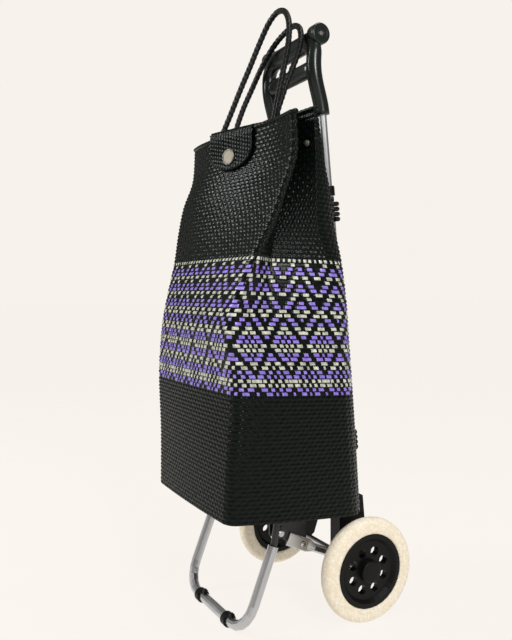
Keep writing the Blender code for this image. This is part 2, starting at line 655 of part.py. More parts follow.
def make_pivot_bolt(side, name, materials, parent):
    """A shouldered bolt through the bracket, with the stand's ear turning on its outer end."""
    inner = BRACKET_X - BRACKET_THICKNESS / 2 - GAP
    shoulder = (BRACKET_X + BRACKET_THICKNESS / 2 + GAP, EAR_X - EAR_THICKNESS / 2 - GAP)
    outer = EAR_X + EAR_THICKNESS / 2 + GAP
    core = 0.0012
    profile = [(inner - 0.003, core), (inner - 0.003, BOLT_HEAD_RADIUS), (inner, BOLT_HEAD_RADIUS),
               (inner, BOLT_RADIUS), (shoulder[0], BOLT_RADIUS), (shoulder[0], BOLT_RADIUS + 0.0012),
               (shoulder[1], BOLT_RADIUS + 0.0012), (shoulder[1], BOLT_RADIUS), (outer, BOLT_RADIUS),
               (outer, BOLT_HEAD_RADIUS), (outer + 0.0024, BOLT_HEAD_RADIUS),
               (outer + 0.0034, BOLT_HEAD_RADIUS * 0.7), (outer + 0.0034, core)]
    centre = (0, *STAND_PIVOT)
    body = turned([(side * x, r) for x, r in profile], SMALL_STEPS)
    bolt = place(f"pivot_bolt_{name}", *moved(body, centre), materials["screw"], parent)
    filling = rod(side * (inner - 0.0029), side * (outer + 0.0026), core + 0.0006)
    middle = place(f"bolt_core_tool_{name}", *moved(filling, centre), None, parent)
    join_or_cut(bolt, middle, "UNION")


# Folding stand

def make_stand(materials, parent):
    """The U-shaped tube that the trolley rests on, with its black struts and foot clips."""
    origin = Vector(parent.location)
    top_y, top_z = STAND_LEG_TOP
    bar_z = CLIP_RADIUS - WHEEL_RADIUS
    corners = [(-STAND_LEG_X, top_y, top_z), (-STAND_LEG_X, STAND_BAR_Y, bar_z),
               (STAND_LEG_X, STAND_BAR_Y, bar_z), (STAND_LEG_X, top_y, top_z)]
    path = [p - origin for p in rounded_path(corners, STAND_BEND, 5)]
    # Each ring's first axis lies in the plane of the U, so the sections stay in line round both bends
    leg = (Vector(corners[0]) - Vector(corners[1])).normalized()
    normal = leg.cross(Vector((1, 0, 0))).normalized()
    place("stand_tube", *hollow_tube(path, normal, STAND_TUBE_RADIUS, STAND_TUBE_WALL), materials["tube"],
          parent)
    for side, name in ((-1, "left"), (1, "right")):
        make_strut(side, name, leg, materials, parent)
        ring = turned([(-CLIP_LENGTH / 2, STAND_TUBE_RADIUS + GAP), (-CLIP_LENGTH / 2, CLIP_RADIUS - 0.001),
                       (-CLIP_LENGTH / 2 + 0.001, CLIP_RADIUS), (CLIP_LENGTH / 2 - 0.001, CLIP_RADIUS),
                       (CLIP_LENGTH / 2, CLIP_RADIUS - 0.001), (CLIP_LENGTH / 2, STAND_TUBE_RADIUS + GAP)], 24)
        place(f"foot_clip_{name}", *moved(ring, Vector((side * CLIP_X, STAND_BAR_Y, bar_z)) - origin),
              materials["plastic"], parent)
        top = STAND_TUBE_RADIUS + GAP
        wedge = [(-0.0045, top), (0.0045, top), (0.0032, top + 0.0058), (-0.0026, top + 0.0058)]
        plug_x = side * CLIP_X + PLUG_OFFSET
        place(f"bar_plug_{name}",
              *moved(prism([(y, z) for y, z in wedge], -0.0038, 0.0038),
                     Vector((plug_x, STAND_BAR_Y, bar_z)) - origin), materials["plastic"], parent)


def make_strut(side, name, leg, materials, parent):
    """The black strut inside a leg's open end, with the ear that turns on the pivot bolt."""
    origin = Vector(parent.location)
    leg_top = Vector((side * STAND_LEG_X, *STAND_LEG_TOP))
    under = floor_z(STRUT_TOP_Y) - PLATFORM_THICKNESS - 2 * GAP - 0.0016
    path = [leg_top - leg * STRUT_DEPTH, leg_top, leg_top + leg * 0.004,
            Vector((side * STAND_LEG_X, STRUT_TOP_Y, under))]
    rings = swept_rings([p - origin for p in path], (1, 0, 0), [(STRUT_RADIUS, STRUT_RADIUS)] * len(path))
    strut = place(f"strut_{name}", *loft(rings), materials["steel"], parent)
    # The ear surrounds the pivot, which is this parent's origin
    outline = [(-0.012, -0.008), (0.004, -0.008), (0.0075, -0.003), (0.0075, 0.004), (0.003, 0.009),
               (-0.009, 0.009)]
    half = EAR_THICKNESS / 2
    ear = place(f"strut_ear_tool_{name}",
                *prism(outline, side * (EAR_X - half), side * (EAR_X + half)), None, parent)
    hole = place(f"strut_hole_tool_{name}",
                 *rod(side * (EAR_X - 0.01), side * (EAR_X + 0.01), BOLT_RADIUS + GAP), None, parent)
    join_or_cut(strut, ear, "UNION")
    join_or_cut(strut, hole, "DIFFERENCE")


# Bag

def bag_level(place_in_table):
    """A level between two rows of the table, smoothly interpolated."""
    last = len(BAG_LEVELS) - 1
    row = min(int(place_in_table), last - 1)
    t = place_in_table - row
    before, start = BAG_LEVELS[max(row - 1, 0)], BAG_LEVELS[row]
    end, after = BAG_LEVELS[row + 1], BAG_LEVELS[min(row + 2, last)]
    mixed = (0.5 * (2 * b + (c - a) * t + (2 * a - 5 * b + 4 * c - d) * t * t
                    + (3 * b - a - 3 * c + d) * t ** 3)
             for a, b, c, d in zip(before, start, end, after))
    return BagLevel(*mixed)


def bag_front_y(level, x):
    """Y of the front panel at X: its lean, ripple and outward bulge."""
    half = BAG_HALF_WIDTH + level.widen
    share = max(-1.0, min(1.0, x / half))
    return (BAG_FRONT + level.front_in + level.lean * share + level.wave * math.sin(math.pi * share)
            - BAG_FRONT_BULGE * (1 - share * share))


def bag_back_y(level):
    """Y of the back panel, which follows the uprights and leans off them near the rim."""
    return upright_y(FLOOR + level.back_height) - OUTER_TUBE_RADIUS - BAG_BACK_GAP - level.back_in


def bag_side_plan(level, side):
    """Plan of one half of a level, from the front's middle round to the back's middle."""
    half = BAG_HALF_WIDTH + level.widen
    back_half = half - 0.11 * level.fold
    corner_y = bag_front_y(level, side * half)
    front_r, back_r = level.front_radius, level.back_radius
    back_y = bag_back_y(level)
    plan = [(x, bag_front_y(level, side * x)) for x in (0.0, half * 0.3, half * 0.6, half - front_r)]
    centre_y = corner_y + front_r
    plan.append((half - front_r * (1 - math.sin(math.pi / 4)), centre_y - front_r * math.cos(math.pi / 4)))
    start, end = Vector((half, centre_y)), Vector((back_half, back_y - back_r))
    valley = start.lerp(end, level.fold_at) - Vector((level.fold, 0))
    bulge = BAG_SIDE_BULGE * (1 - min(level.fold / 0.02, 1.0))
    for a, b in ((start, valley), (valley, end)):
        for t in (0.0, 0.35, 0.7):
            swell = bulge * (t if b is valley else 1 - t)
            plan.append(tuple(a.lerp(b, t) + Vector((swell, 0))))
    for k in range(5):
        angle = math.pi / 2 * k / 4
        plan.append((back_half - back_r + back_r * math.cos(angle),
                     back_y - back_r + back_r * math.sin(angle)))
    plan += [((back_half - back_r) * 0.5, back_y), (0.0, back_y)]
    return [(side * x, y) for x, y in plan]


def bag_ring(level, bottom):
    """One closed ring of the bag, tilted from its front height to its back height."""
    right, left = bag_side_plan(level, 1), bag_side_plan(level, -1)
    plan = right + left[-2:0:-1]
    back_y = bag_back_y(level)
    front_y = BAG_FRONT + level.front_in
    ring = []
    for x, y in plan:
        share = (y - front_y) / (back_y - front_y)
        height = level.front_height + (level.back_height - level.front_height) * share
        ring.append((x, y, floor_z(y) if bottom else FLOOR + height))
    return ring


def make_bag(materials, parent):
    """The bag's shell: an open-topped lofted skin, thickened inwards."""
    last = len(BAG_LEVELS) - 1
    rings = [bag_ring(bag_level(last * k / (BAG_RINGS - 1)), k == 0) for k in range(BAG_RINGS)]
    verts, faces = loft(rings)
    bag = place("bag_shell", verts, faces[:-1], materials["weave"], parent)
    wall = bag.modifiers.new("wall", "SOLIDIFY")
    wall.thickness = BAG_WALL
    wall.offset = -1
    wall.use_even_offset = True


def make_tie(side, name, height, materials, parent):
    """A cord lashing round an upright, thin in front where it lies against the bag."""
    low, high = upright_point(side, height), upright_point(side, height + TIE_LENGTH)
    bore = OUTER_TUBE_RADIUS + GAP
    thick, thin = bore + TIE_THICKNESS, bore + TIE_FRONT
    angles = [2 * math.pi * k / 16 for k in range(16)]
    rings = []
    for point in (low, high):
        rings.append([point + Vector((thick * math.cos(a), (thick if a < math.pi else thin) * math.sin(a), 0))
                      for a in angles])
    for point in (high, low):
        rings.append([point + Vector((bore * math.cos(a), bore * math.sin(a), 0)) for a in angles])
    place(name, *loft(rings, closed=True), materials["rope"], parent)


# Closing tab and snaps

def rim_level():
    return BAG_LEVELS[-1]


def front_surface(x, height):
    """Y of the front panel at X and a height above the bag floor."""
    last = len(BAG_LEVELS) - 1
    low, high = 0.0, float(last)
    for _ in range(24):
        middle = (low + high) / 2
        if bag_level(middle).front_height < height:
            low = middle
        else:
            high = middle
    return bag_front_y(bag_level(low), x)


def tab_rows(x):
    """The tab's outer face in one column, from the hinge over the mouth and down the front."""
    rim = rim_level()
    back_y = bag_back_y(rim) - BAG_WALL / 2
    over = TAB_THICKNESS + GAP
    front_y = bag_front_y(rim, x)
    out = TAB_STAND_OFF + TAB_THICKNESS
    top_back, top_front = rim.back_height + over + 0.001, rim.front_height + over + 0.003
    rows = [(back_y, top_back), (back_y - 0.014, top_back + 0.0008)]
    rows += [(back_y + (front_y - back_y) * t, top_back + (top_front - top_back) * t) for t in (0.5, 0.8)]
    rows += [(front_y - out + 0.0045, top_front - 0.0008), (front_y - out + 0.0012, top_front - 0.0045)]
    share = abs(x - TAB_MIDDLE) / TAB_HALF_WIDTH
    end = TAB_END + 0.030 * (1 - math.sqrt(max(0.0, 1 - share ** 2)))
    start = rim.front_height - 0.008
    for t in (0.0, 0.33, 0.66, 1.0):
        height = start + (end - start) * t
        rows.append((front_surface(x, height) - out, height))
    return rows


def make_tab(materials, parent, root):
    """The closing tab with its snap, and the snap's socket on the bag."""
    origin = Vector(parent.location)
    columns = 12
    grid = []
    for k in range(columns + 1):
        x = TAB_MIDDLE - TAB_HALF_WIDTH * math.cos(math.pi * k / columns)
        grid.append([Vector((x, y, FLOOR + h)) - origin for y, h in tab_rows(x)])
    count = len(grid[0])
    verts = [tuple(p) for column in grid for p in column]
    faces = [(c * count + r, (c + 1) * count + r, (c + 1) * count + r + 1, c * count + r + 1)
             for c in range(columns) for r in range(count - 1)]
    tab = place("closing_tab", verts, faces, materials["weave"], parent)
    up = tab.data.polygons[columns // 2 * (count - 1)].normal.z
    thick = tab.modifiers.new("thickness", "SOLIDIFY")
    thick.thickness = TAB_THICKNESS
    thick.offset = -1 if up > 0 else 1
    face_y = front_surface(TAB_MIDDLE, SNAP_HEIGHT)
    reach = 0.01
    above, below = (front_surface(TAB_MIDDLE, SNAP_HEIGHT + step) for step in (reach, -reach))
    right, left = (front_surface(TAB_MIDDLE + step, SNAP_HEIGHT) for step in (reach, -reach))
    tilt, yaw = math.atan2(above - below, 2 * reach), math.atan2(right - left, 2 * reach)
    button = [(0.0, 0.0008), (0.0, SNAP_RADIUS - 0.0006), (0.0008, SNAP_RADIUS),
              (SNAP_THICKNESS, SNAP_RADIUS - 0.0009), (SNAP_THICKNESS, SNAP_RADIUS - 0.0021),
              (SNAP_THICKNESS - 0.0006, SNAP_RADIUS - 0.003), (SNAP_THICKNESS - 0.0006, 0.0008)]
    outward = face_y - TAB_STAND_OFF - TAB_THICKNESS - 0.0011
    cap = place("snap_cap", *turned(button, 24), materials["brass"], parent)
    cap.location = Vector((TAB_MIDDLE, outward, FLOOR + SNAP_HEIGHT)) - origin
    cap.rotation_euler = (-tilt, 0, yaw)
    cap.data.transform(Matrix.Rotation(math.radians(-90), 4, "Z"))
    middle = place("snap_middle_tool", *rod(0.0001, SNAP_THICKNESS - 0.0007, 0.002), None, parent)
    middle.data.transform(Matrix.Rotation(math.radians(-90), 4, "Z"))
    middle.location, middle.rotation_euler = cap.location, cap.rotation_euler
    join_or_cut(cap, middle, "UNION")
    socket = place("snap_socket", *rod(0, SOCKET_THICKNESS, SOCKET_RADIUS, SMALL_STEPS), materials["brass"],
                   root)
    socket.data.transform(Matrix.Rotation(math.radians(-90), 4, "Z"))
    socket.location = (TAB_MIDDLE, face_y - TAB_STAND_OFF + SOCKET_THICKNESS + 0.0006, FLOOR + SNAP_HEIGHT)
    socket.rotation_euler = (-tilt, 0, yaw)


def make_gusset_snap(side, name, materials, parent):
    """The press stud in the mouth of the folded side, on the fold's rear half."""
    level = bag_level(GUSSET_SNAP_LEVEL)
    valley, end = [Vector(bag_side_plan(level, side)[k]) for k in (8, 11)]
    along = (end - valley).normalized()
    normal = Vector((along.y, -along.x))
    if normal.y > 0:
        normal = -normal
    spot = valley.lerp(end, GUSSET_SNAP_PLACE) + normal * GUSSET_SNAP_OFF
    front_y, back_y = BAG_FRONT + level.front_in, bag_back_y(level)
    share = (spot.y - front_y) / (back_y - front_y)
    height = FLOOR + level.front_height + (level.back_height - level.front_height) * share
    stud = [(0.0, 0.0008), (0.0, 0.0048), (0.0014, 0.0048), (0.0022, 0.0040), (0.0022, 0.0032),
            (0.0046, 0.0032), (0.0052, 0.0024), (0.0052, 0.0008)]
    snap = place(f"gusset_snap_{name}", *turned(stud, SMALL_STEPS), materials["brass"], parent)
    core = place(f"gusset_snap_tool_{name}", *rod(0.0001, 0.0049, 0.0014), None, parent)
    for obj in (snap, core):
        obj.location = (spot.x, spot.y, height)
        obj.rotation_euler = (0, 0, math.atan2(normal.y, normal.x))
    join_or_cut(snap, core, "UNION")


def make_rope(name, route, materials, parent):
    """One carrying rope: a round cord along a smooth route, with filled ends."""
    points = smooth_route([(x, y, FLOOR + h) for x, y, h in route], ROPE_POINT_SPACING)
    curve = bpy.data.curves.new(name, "CURVE")
    curve.dimensions = "3D"
    curve.bevel_depth = ROPE_RADIUS
    curve.bevel_resolution = 2
    curve.use_fill_caps = True
    spline = curve.splines.new("POLY")
    spline.points.add(len(points) - 1)
    for slot, point in zip(spline.points, points):
        slot.co = (*point, 1.0)
    curve.materials.append(materials["rope"])
    obj = bpy.data.objects.new(name, curve)
    bpy.context.scene.collection.objects.link(obj)
    obj.parent = parent


def main():
    clear_scene()
    materials = make_materials()
    frame = make_empty("trolley_frame", (0, CENTRING, WHEEL_RADIUS))
    slide = make_empty("handle_slide", upright_point(0, UPRIGHT_TOP), frame)
    pivot = make_empty("stand_pivot", (0, *STAND_PIVOT), frame)
    rim = rim_level()
    hinge_y = bag_back_y(rim) - BAG_WALL / 2
    hinge = make_empty("tab_hinge", (TAB_MIDDLE, hinge_y, FLOOR + rim.back_height + GAP), frame)

    make_axle(materials, frame)
    make_platform(materials, frame)
    make_bag(materials, frame)
    make_handle(materials, slide)
    make_stand(materials, pivot)
    make_tab(materials, hinge, frame)
    for side, name in ((-1, "left"), (1, "right")):
        make_wheel(side, name, materials, frame)
        make_upright(side, name, materials, frame)
        make_inner_tube(side, name, materials, slide)
        make_block(side, name, materials, frame)
        make_brace(side, name, materials, frame)
        make_bracket(side, name, materials, frame)
        make_pivot_bolt(side, name, materials, frame)
        make_gusset_snap(side, name, materials, frame)
        for label, height in zip(("lower", "upper"), TIE_HEIGHTS):
            make_tie(side, f"tie_{label}_{name}", height, materials, frame)
    make_rope("rope_front", ROPE_FRONT_ROUTE, materials, frame)
    make_rope("rope_back", ROPE_BACK_ROUTE, materials, frame)


main()
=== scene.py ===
"""Looks of a two-wheeled shopping trolley: a hand-woven bag, rope handles and a light tube frame."""

import json
import logging
import math
from dataclasses import dataclass
from enum import Enum
from typing import Callable, Sequence

import bpy
import numpy as np
from mathutils import Matrix, Vector


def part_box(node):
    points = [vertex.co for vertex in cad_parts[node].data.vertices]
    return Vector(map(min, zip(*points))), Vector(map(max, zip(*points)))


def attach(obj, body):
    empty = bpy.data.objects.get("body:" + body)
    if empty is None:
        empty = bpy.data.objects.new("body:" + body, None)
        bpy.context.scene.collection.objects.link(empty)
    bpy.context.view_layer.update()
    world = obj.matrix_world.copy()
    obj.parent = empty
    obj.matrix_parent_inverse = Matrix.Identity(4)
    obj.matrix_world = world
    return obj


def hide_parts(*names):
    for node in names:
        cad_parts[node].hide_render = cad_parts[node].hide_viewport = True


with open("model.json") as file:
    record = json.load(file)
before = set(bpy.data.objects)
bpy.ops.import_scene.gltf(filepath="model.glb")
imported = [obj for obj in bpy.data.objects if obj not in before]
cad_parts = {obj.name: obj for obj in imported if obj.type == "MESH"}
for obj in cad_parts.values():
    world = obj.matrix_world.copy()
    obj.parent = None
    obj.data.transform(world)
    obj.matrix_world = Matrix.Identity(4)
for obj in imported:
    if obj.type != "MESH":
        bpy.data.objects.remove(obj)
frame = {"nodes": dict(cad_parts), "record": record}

Socket = bpy.types.NodeSocket

LOG = logging.getLogger("trolley")

# Where the frame stands: the axle's centre, and the bag floor's height over the axle
AXLE = Vector((0.0, 0.08125, 0.0825))
FLOOR = 0.1685
LEAN = math.tan(math.radians(5.5))
SET_BACK = 0.0314
UPRIGHT_X = 0.072
TUBE_RADIUS = 0.008


class Body(Enum):
    """The moving bodies of the trolley."""

    ROOT = "frame"
    HANDLE = "handle"
    TAB = "tab"
    WHEEL_LEFT = "wheel_left"
    WHEEL_RIGHT = "wheel_right"


class Coords(Enum):
    """Which coordinates a finish's pattern is laid out in, both in metres."""

    OBJECT = "Object"
    UV = "UV"


def linear(code: str) -> tuple[float, float, float, float]:
    """Turns an sRGB hex code into linear RGBA.

    Args:
        code: Six hex digits.

    Returns:
        The linear colour with full alpha.
    """
    channels = [int(code[i : i + 2], 16) / 255 for i in (0, 2, 4)]
    return (*[c / 12.92 if c <= 0.04045 else ((c + 0.055) / 1.055) ** 2.4 for c in channels], 1.0)


# Finishes


def add_node(
    tree: bpy.types.NodeTree,
    kind: str,
    inputs: dict[str, object] | None = None,
    links: dict[str, bpy.types.NodeSocket] | None = None,
    **attributes: object,
) -> bpy.types.Node:
    """Adds one shader node with its settings and links.

    Args:
        tree: The material's node tree.
        kind: The node's type name.
        inputs: Values of its input sockets.
        links: Sockets that feed its inputs.
        attributes: The node's own settings.

    Returns:
        The new node.
    """
    node = tree.nodes.new(kind)
    for key, value in attributes.items():
        setattr(node, key, value)
    for key, value in (inputs or {}).items():
        node.inputs[key].default_value = value
    for key, socket in (links or {}).items():
        tree.links.new(socket, node.inputs[key])
    return node


@dataclass(frozen=True)
class Finish:
    """A real material: its colour range, gloss and the grain of its surface.

    Attributes:
        name: The material's name.
        colour: Its main colour.
        shade: The colour its texture drifts towards.
        roughness: Its mean roughness.
        metallic: 1 for bare metal.
        grain: Size of the surface's grain, in metres.
        relief: Height of the grain, in metres.
        stretch: How much the grain is drawn out along each axis.
        coords: The coordinates that the grain follows.
        drift: How much of the shade shows.
        specular: Strength of the clear reflection, 0.5 for bare plastic.
    """

    name: str
    colour: str
    shade: str
    roughness: float
    metallic: float = 0.0
    grain: float = 0.001
    relief: float = 0.00005
    stretch: tuple[float, float, float] = (1.0, 1.0, 1.0)
    coords: Coords = Coords.OBJECT
    drift: float = 0.5
    specular: float = 0.5

    def build(self) -> bpy.types.Material:
        """Makes the material."""
        material = bpy.data.materials.new(self.name)
        material.use_nodes = True
        tree = material.node_tree
        shader = tree.nodes["Principled BSDF"]
        shader.inputs["Metallic"].default_value = self.metallic
        shader.inputs["Specular IOR Level"].default_value = self.specular
        where = add_node(tree, "ShaderNodeTexCoord").outputs[self.coords.value]
        place = add_node(
            tree,
            "ShaderNodeMapping",
            {"Scale": Vector(s / self.grain for s in self.stretch)},
            {"Vector": where},
        ).outputs["Vector"]
        self.paint(tree, shader, place, where)
        material.diffuse_color = linear(self.colour)
        return material

    def paint(
        self, tree: bpy.types.NodeTree, shader: bpy.types.Node, place: Socket, where: Socket
    ) -> None:
        """Links the surface's colour, gloss and relief.

        Args:
            tree: The material's node tree.
            shader: Its Principled shader.
            place: Coordinates in units of the grain.
            where: Coordinates in metres.
        """
        fine = add_node(tree, "ShaderNodeTexNoise", {"Scale": 1.0, "Detail": 5.0}, {"Vector": place})
        broad = add_node(tree, "ShaderNodeTexNoise", {"Scale": 14.0, "Detail": 3.0}, {"Vector": where})
        self.tint(tree, shader, broad.outputs["Fac"])
        self.gloss(tree, shader, broad.outputs["Fac"], 0.06)
        self.emboss(tree, shader, fine.outputs["Fac"])

    def tint(self, tree: bpy.types.NodeTree, shader: bpy.types.Node, factor: Socket) -> None:
        """Drifts the colour towards the shade where the factor is high."""
        share = add_node(
            tree, "ShaderNodeMapRange", {"From Min": 0.3, "From Max": 0.7, "To Max": self.drift}, {"Value": factor}
        )
        mix = add_node(tree, "ShaderNodeMix", data_type="RGBA")
        mix.inputs[6].default_value = linear(self.colour)
        mix.inputs[7].default_value = linear(self.shade)
        tree.links.new(share.outputs["Result"], mix.inputs[0])
        self.colour_link(tree, shader, mix.outputs[2])

    def colour_link(self, tree: bpy.types.NodeTree, shader: bpy.types.Node, colour: Socket) -> None:
        """Feeds the colour to the shader."""
        tree.links.new(colour, shader.inputs["Base Color"])

    def gloss(
        self, tree: bpy.types.NodeTree, shader: bpy.types.Node, factor: Socket, spread: float
    ) -> None:
        """Lets the roughness wander by the spread either way."""
        rough = add_node(
            tree,
            "ShaderNodeMapRange",
            {"From Min": 0.3, "From Max": 0.7, "To Min": self.roughness - spread, "To Max": self.roughness + spread},
            {"Value": factor},
        )
        tree.links.new(rough.outputs["Result"], shader.inputs["Roughness"])

    def emboss(self, tree: bpy.types.NodeTree, shader: bpy.types.Node, height: Socket) -> None:
        """Raises the surface by the relief."""
        bump = add_node(
            tree, "ShaderNodeBump", {"Strength": 1.0, "Distance": self.relief}, {"Height": height}
        )
        tree.links.new(bump.outputs["Normal"], shader.inputs["Normal"])


@dataclass(frozen=True)
class FoamFinish(Finish):
    """Moulded foam: a skin of small closed cells, yellower in the hollows where dust settles."""

    def paint(
        self, tree: bpy.types.NodeTree, shader: bpy.types.Node, place: Socket, where: Socket
    ) -> None:
        """Links cell hollows and broad stains."""
        cells = add_node(tree, "ShaderNodeTexVoronoi", {"Scale": 1.0}, {"Vector": place}, feature="F1")
        stains = add_node(tree, "ShaderNodeTexNoise", {"Scale": 90.0, "Detail": 6.0}, {"Vector": where})
        both = add_node(
            tree, "ShaderNodeMath", {}, {0: stains.outputs["Fac"]}, operation="MULTIPLY_ADD"
        )
        both.inputs[1].default_value = 0.8
        tree.links.new(cells.outputs["Distance"], both.inputs[2])
        scaled = add_node(tree, "ShaderNodeMath", {1: 0.62}, {0: both.outputs[0]}, operation="MULTIPLY")
        self.tint(tree, shader, scaled.outputs[0])
        self.gloss(tree, shader, stains.outputs["Fac"], 0.05)
        self.emboss(tree, shader, cells.outputs["Distance"])


@dataclass(frozen=True)
class CordFinish(Finish):
    """Drawn plastic cord: faint lines run along it, each stretch's gloss wanders, and its colour drifts towards a
    darker shade in random patches, painted shade standing in for the floats' shading.
    """

    def paint(
        self, tree: bpy.types.NodeTree, shader: bpy.types.Node, place: Socket, where: Socket
    ) -> None:
        """Links the drawn lines, the wandering gloss, and random patches of painted shade from one stretch to the
        next.
        """
        lines = add_node(tree, "ShaderNodeTexNoise", {"Scale": 1.0, "Detail": 3.0}, {"Vector": place})
        painted_shade_and_gloss_patch = add_node(tree, "ShaderNodeTexNoise", {"Scale": 140.0, "Detail": 3.0}, {"Vector": where})
        # Painted shade: random patches darken the colour towards the shade, standing in for the glossy floats'
        # shading
        self.tint(tree, shader, painted_shade_and_gloss_patch.outputs["Fac"])
        self.gloss(tree, shader, painted_shade_and_gloss_patch.outputs["Fac"], 0.1)
        self.emboss(tree, shader, lines.outputs["Fac"])

    def colour_link(self, tree: bpy.types.NodeTree, shader: bpy.types.Node, colour: Socket) -> None:
        """Painted shade: darkens the cord's colour by ambient occlusion where it dives under its neighbours, in the
        creases where shade falls.
        """
        # Painted shade: ambient occlusion darkens the base colour in the weave's grooves
        shade = add_node(tree, "ShaderNodeAmbientOcclusion", {"Distance": 0.0045}, samples=4)
        depth = add_node(tree, "ShaderNodeMath", {1: 1.6}, {0: shade.outputs["AO"]}, operation="POWER")
        scaled = add_node(tree, "ShaderNodeVectorMath", {}, {0: colour}, operation="SCALE")
        tree.links.new(depth.outputs[0], scaled.inputs["Scale"])
        tree.links.new(scaled.outputs["Vector"], shader.inputs["Base Color"])


@dataclass(frozen=True)
class LitPaperFinish(Finish):
    """A light table's paper: matt, and lit evenly from below, so that shadows stay faint.

    Attributes:
        glow: Strength of the light from below.
    """

    glow: float = 0.965

    def paint(
        self, tree: bpy.types.NodeTree, shader: bpy.types.Node, place: Socket, where: Socket
    ) -> None:
        """Links the paper's fibre and its glow."""
        super().paint(tree, shader, place, where)
        shader.inputs["Emission Color"].default_value = linear("F7F2EC")
        shader.inputs["Emission Strength"].default_value = self.glow


# Zinc plating on drawn tube: bright, with fine lines drawn out along the tube
ZINC = Finish("zinc_plated_steel", "C9CACC", "A9AAAE", 0.33, 1.0, 0.0006, 0.00001, (1.0, 1.0, 0.06))
# Black enamel over steel, a little uneven where it ran
ENAMEL = Finish("black_enamelled_steel", "15171A", "22252A", 0.4, 0.0, 0.0012, 0.00004)
# Turned and plated fasteners
FASTENER = Finish("plated_fastener_steel", "C4C4C2", "9A9A98", 0.3, 1.0, 0.0004, 0.00001)
# Pale plated press studs, brushed by use
STUD = Finish("pale_plated_brass", "7A766B", "605D54", 0.5, 1.0, 0.0005, 0.00001)
# Polished ABS, so the mould's polish shows as a wet black
GLOSS_ABS = Finish("polished_black_abs", "0D1310", "131C17", 0.26, 0.0, 0.004, 0.00002, specular=0.35)
# Plain moulded polypropylene with the mould's fine spark texture
POLYPROPYLENE = Finish("black_polypropylene", "070808", "101212", 0.4, 0.0, 0.0007, 0.00006, specular=0.16)
FOAM = FoamFinish("cream_eva_foam", "F6EEDD", "E0D0B2", 0.8, 0.0, 0.0048, 0.0006, drift=0.6)
BLACK_CORD = CordFinish(
    "black_woven_plastic_cord", "060A08", "101A15", 0.25, 0.0, 0.0006, 0.00009, (1.0, 0.25, 1.0), Coords.UV,
    specular=0.12,
)
# Painted shade: the violet drifts far towards a dark shade, standing in for the floats' shading
VIOLET_CORD = CordFinish(
    "violet_woven_plastic_cord", "9C84E4", "5A46A0", 0.32, 0.0, 0.0006, 0.00009, (0.25, 1.0, 1.0), Coords.UV,
    drift=0.8,
)
# Painted shade: the cream drifts far towards a dark shade, standing in for the floats' shading
CREAM_CORD = CordFinish(
    "cream_woven_plastic_cord", "DADACB", "6F7468", 0.30, 0.0, 0.0006, 0.00009, (0.25, 1.0, 1.0), Coords.UV,
    drift=0.85,
)
BRAID = CordFinish(
    "black_braided_plastic", "060707", "101212", 0.4, 0.0, 0.0006, 0.0001, (1.0, 1.0, 1.0), Coords.UV, specular=0.2
)
SEAMLESS = LitPaperFinish("light_table_paper", "33322F", "31302E", 0.95, 0.0, 0.002, 0.00002)


class Palette:
    """Every material of the trolley, made once and shared."""

    def __init__(self) -> None:
        """Builds the materials and notes which record slot each one serves."""
        self.zinc = ZINC.build()
        self.gloss = GLOSS_ABS.build()
        self.foam = FOAM.build()
        self.black_cord = BLACK_CORD.build()
        self.violet_cord = VIOLET_CORD.build()
        self.cream_cord = CREAM_CORD.build()
        self.braid = BRAID.build()
        self.floor = SEAMLESS.build()
        self.slots = {
            "steel_tube": self.zinc,
            "black_steel": ENAMEL.build(),
            "fastener_steel": FASTENER.build(),
            "pale_brass": STUD.build(),
            "grip_plastic": self.gloss,
            "black_plastic": POLYPROPYLENE.build(),
            "foam_tyre": self.foam,
            "woven_plastic": self.black_cord,
            "braided_rope": self.braid,
        }

    def dress_nodes(self) -> None:
        """Gives each carried-over piece the material of its slot."""
        for part in frame["record"]["subparts"]:
            node = frame["nodes"][part["node"]]
            material = self.slots[part["material_slot"]]
            if node.data.materials:
                for index in range(len(node.data.materials)):
                    node.data.materials[index] = material
            else:
                node.data.materials.append(material)


# Mesh helpers


def grid_quads(rows: int, columns: int, wrap: bool) -> np.ndarray:
    """Quads of a grid of points stored row by row.

    Args:
        rows: Rows of points.
        columns: Points in a row.
        wrap: Whether the last column joins the first.

    Returns:
        The quads' point numbers, in rows.
    """
    across = np.arange(columns if wrap else columns - 1)
    after = (across + 1) % columns
    base = np.arange(rows - 1)[:, None] * columns
    quads = np.stack([base + across, base + after, base + columns + after, base + columns + across], axis=-1)
    return quads.reshape(-1, 4)


def make_grid(
    name: str,
    points: np.ndarray,
    wrap: bool,
    materials: Sequence[bpy.types.Material],
    slots: np.ndarray | None = None,
    uv: np.ndarray | None = None,
) -> bpy.types.Object:
    """An object from a grid of points, smooth-shaded.

    Args:
        name: The object's name.
        points: Rows by columns by three.
        wrap: Whether the columns close on themselves.
        materials: The object's materials.
        slots: Each quad's material, or none for the first.
        uv: Rows by columns by two, in metres, or none.

    Returns:
        The new object.
    """
    rows, columns = points.shape[:2]
    quads = grid_quads(rows, columns, wrap)
    mesh = bpy.data.meshes.new(name)
    mesh.vertices.add(rows * columns)
    mesh.vertices.foreach_set("co", points.reshape(-1).astype(np.float32))
    mesh.loops.add(quads.size)
    mesh.loops.foreach_set("vertex_index", quads.reshape(-1).astype(np.int32))
    mesh.polygons.add(len(quads))
    mesh.polygons.foreach_set("loop_start", np.arange(len(quads), dtype=np.int32) * 4)
    for material in materials:
        mesh.materials.append(material)
    if slots is not None:
        mesh.polygons.foreach_set("material_index", slots.reshape(-1).astype(np.int32))
    mesh.update(calc_edges=True)
    if uv is not None:
        layer = mesh.uv_layers.new(name="cords")
        layer.data.foreach_set("uv", uv.reshape(-1, 2)[quads.reshape(-1)].reshape(-1).astype(np.float32))
    mesh.shade_smooth()
    obj = bpy.data.objects.new(name, mesh)
    bpy.context.scene.collection.objects.link(obj)
    return obj


def unit(vectors: np.ndarray) -> np.ndarray:
    """Vectors scaled to length one."""
    return vectors / np.maximum(np.linalg.norm(vectors, axis=-1, keepdims=True), 1e-12)


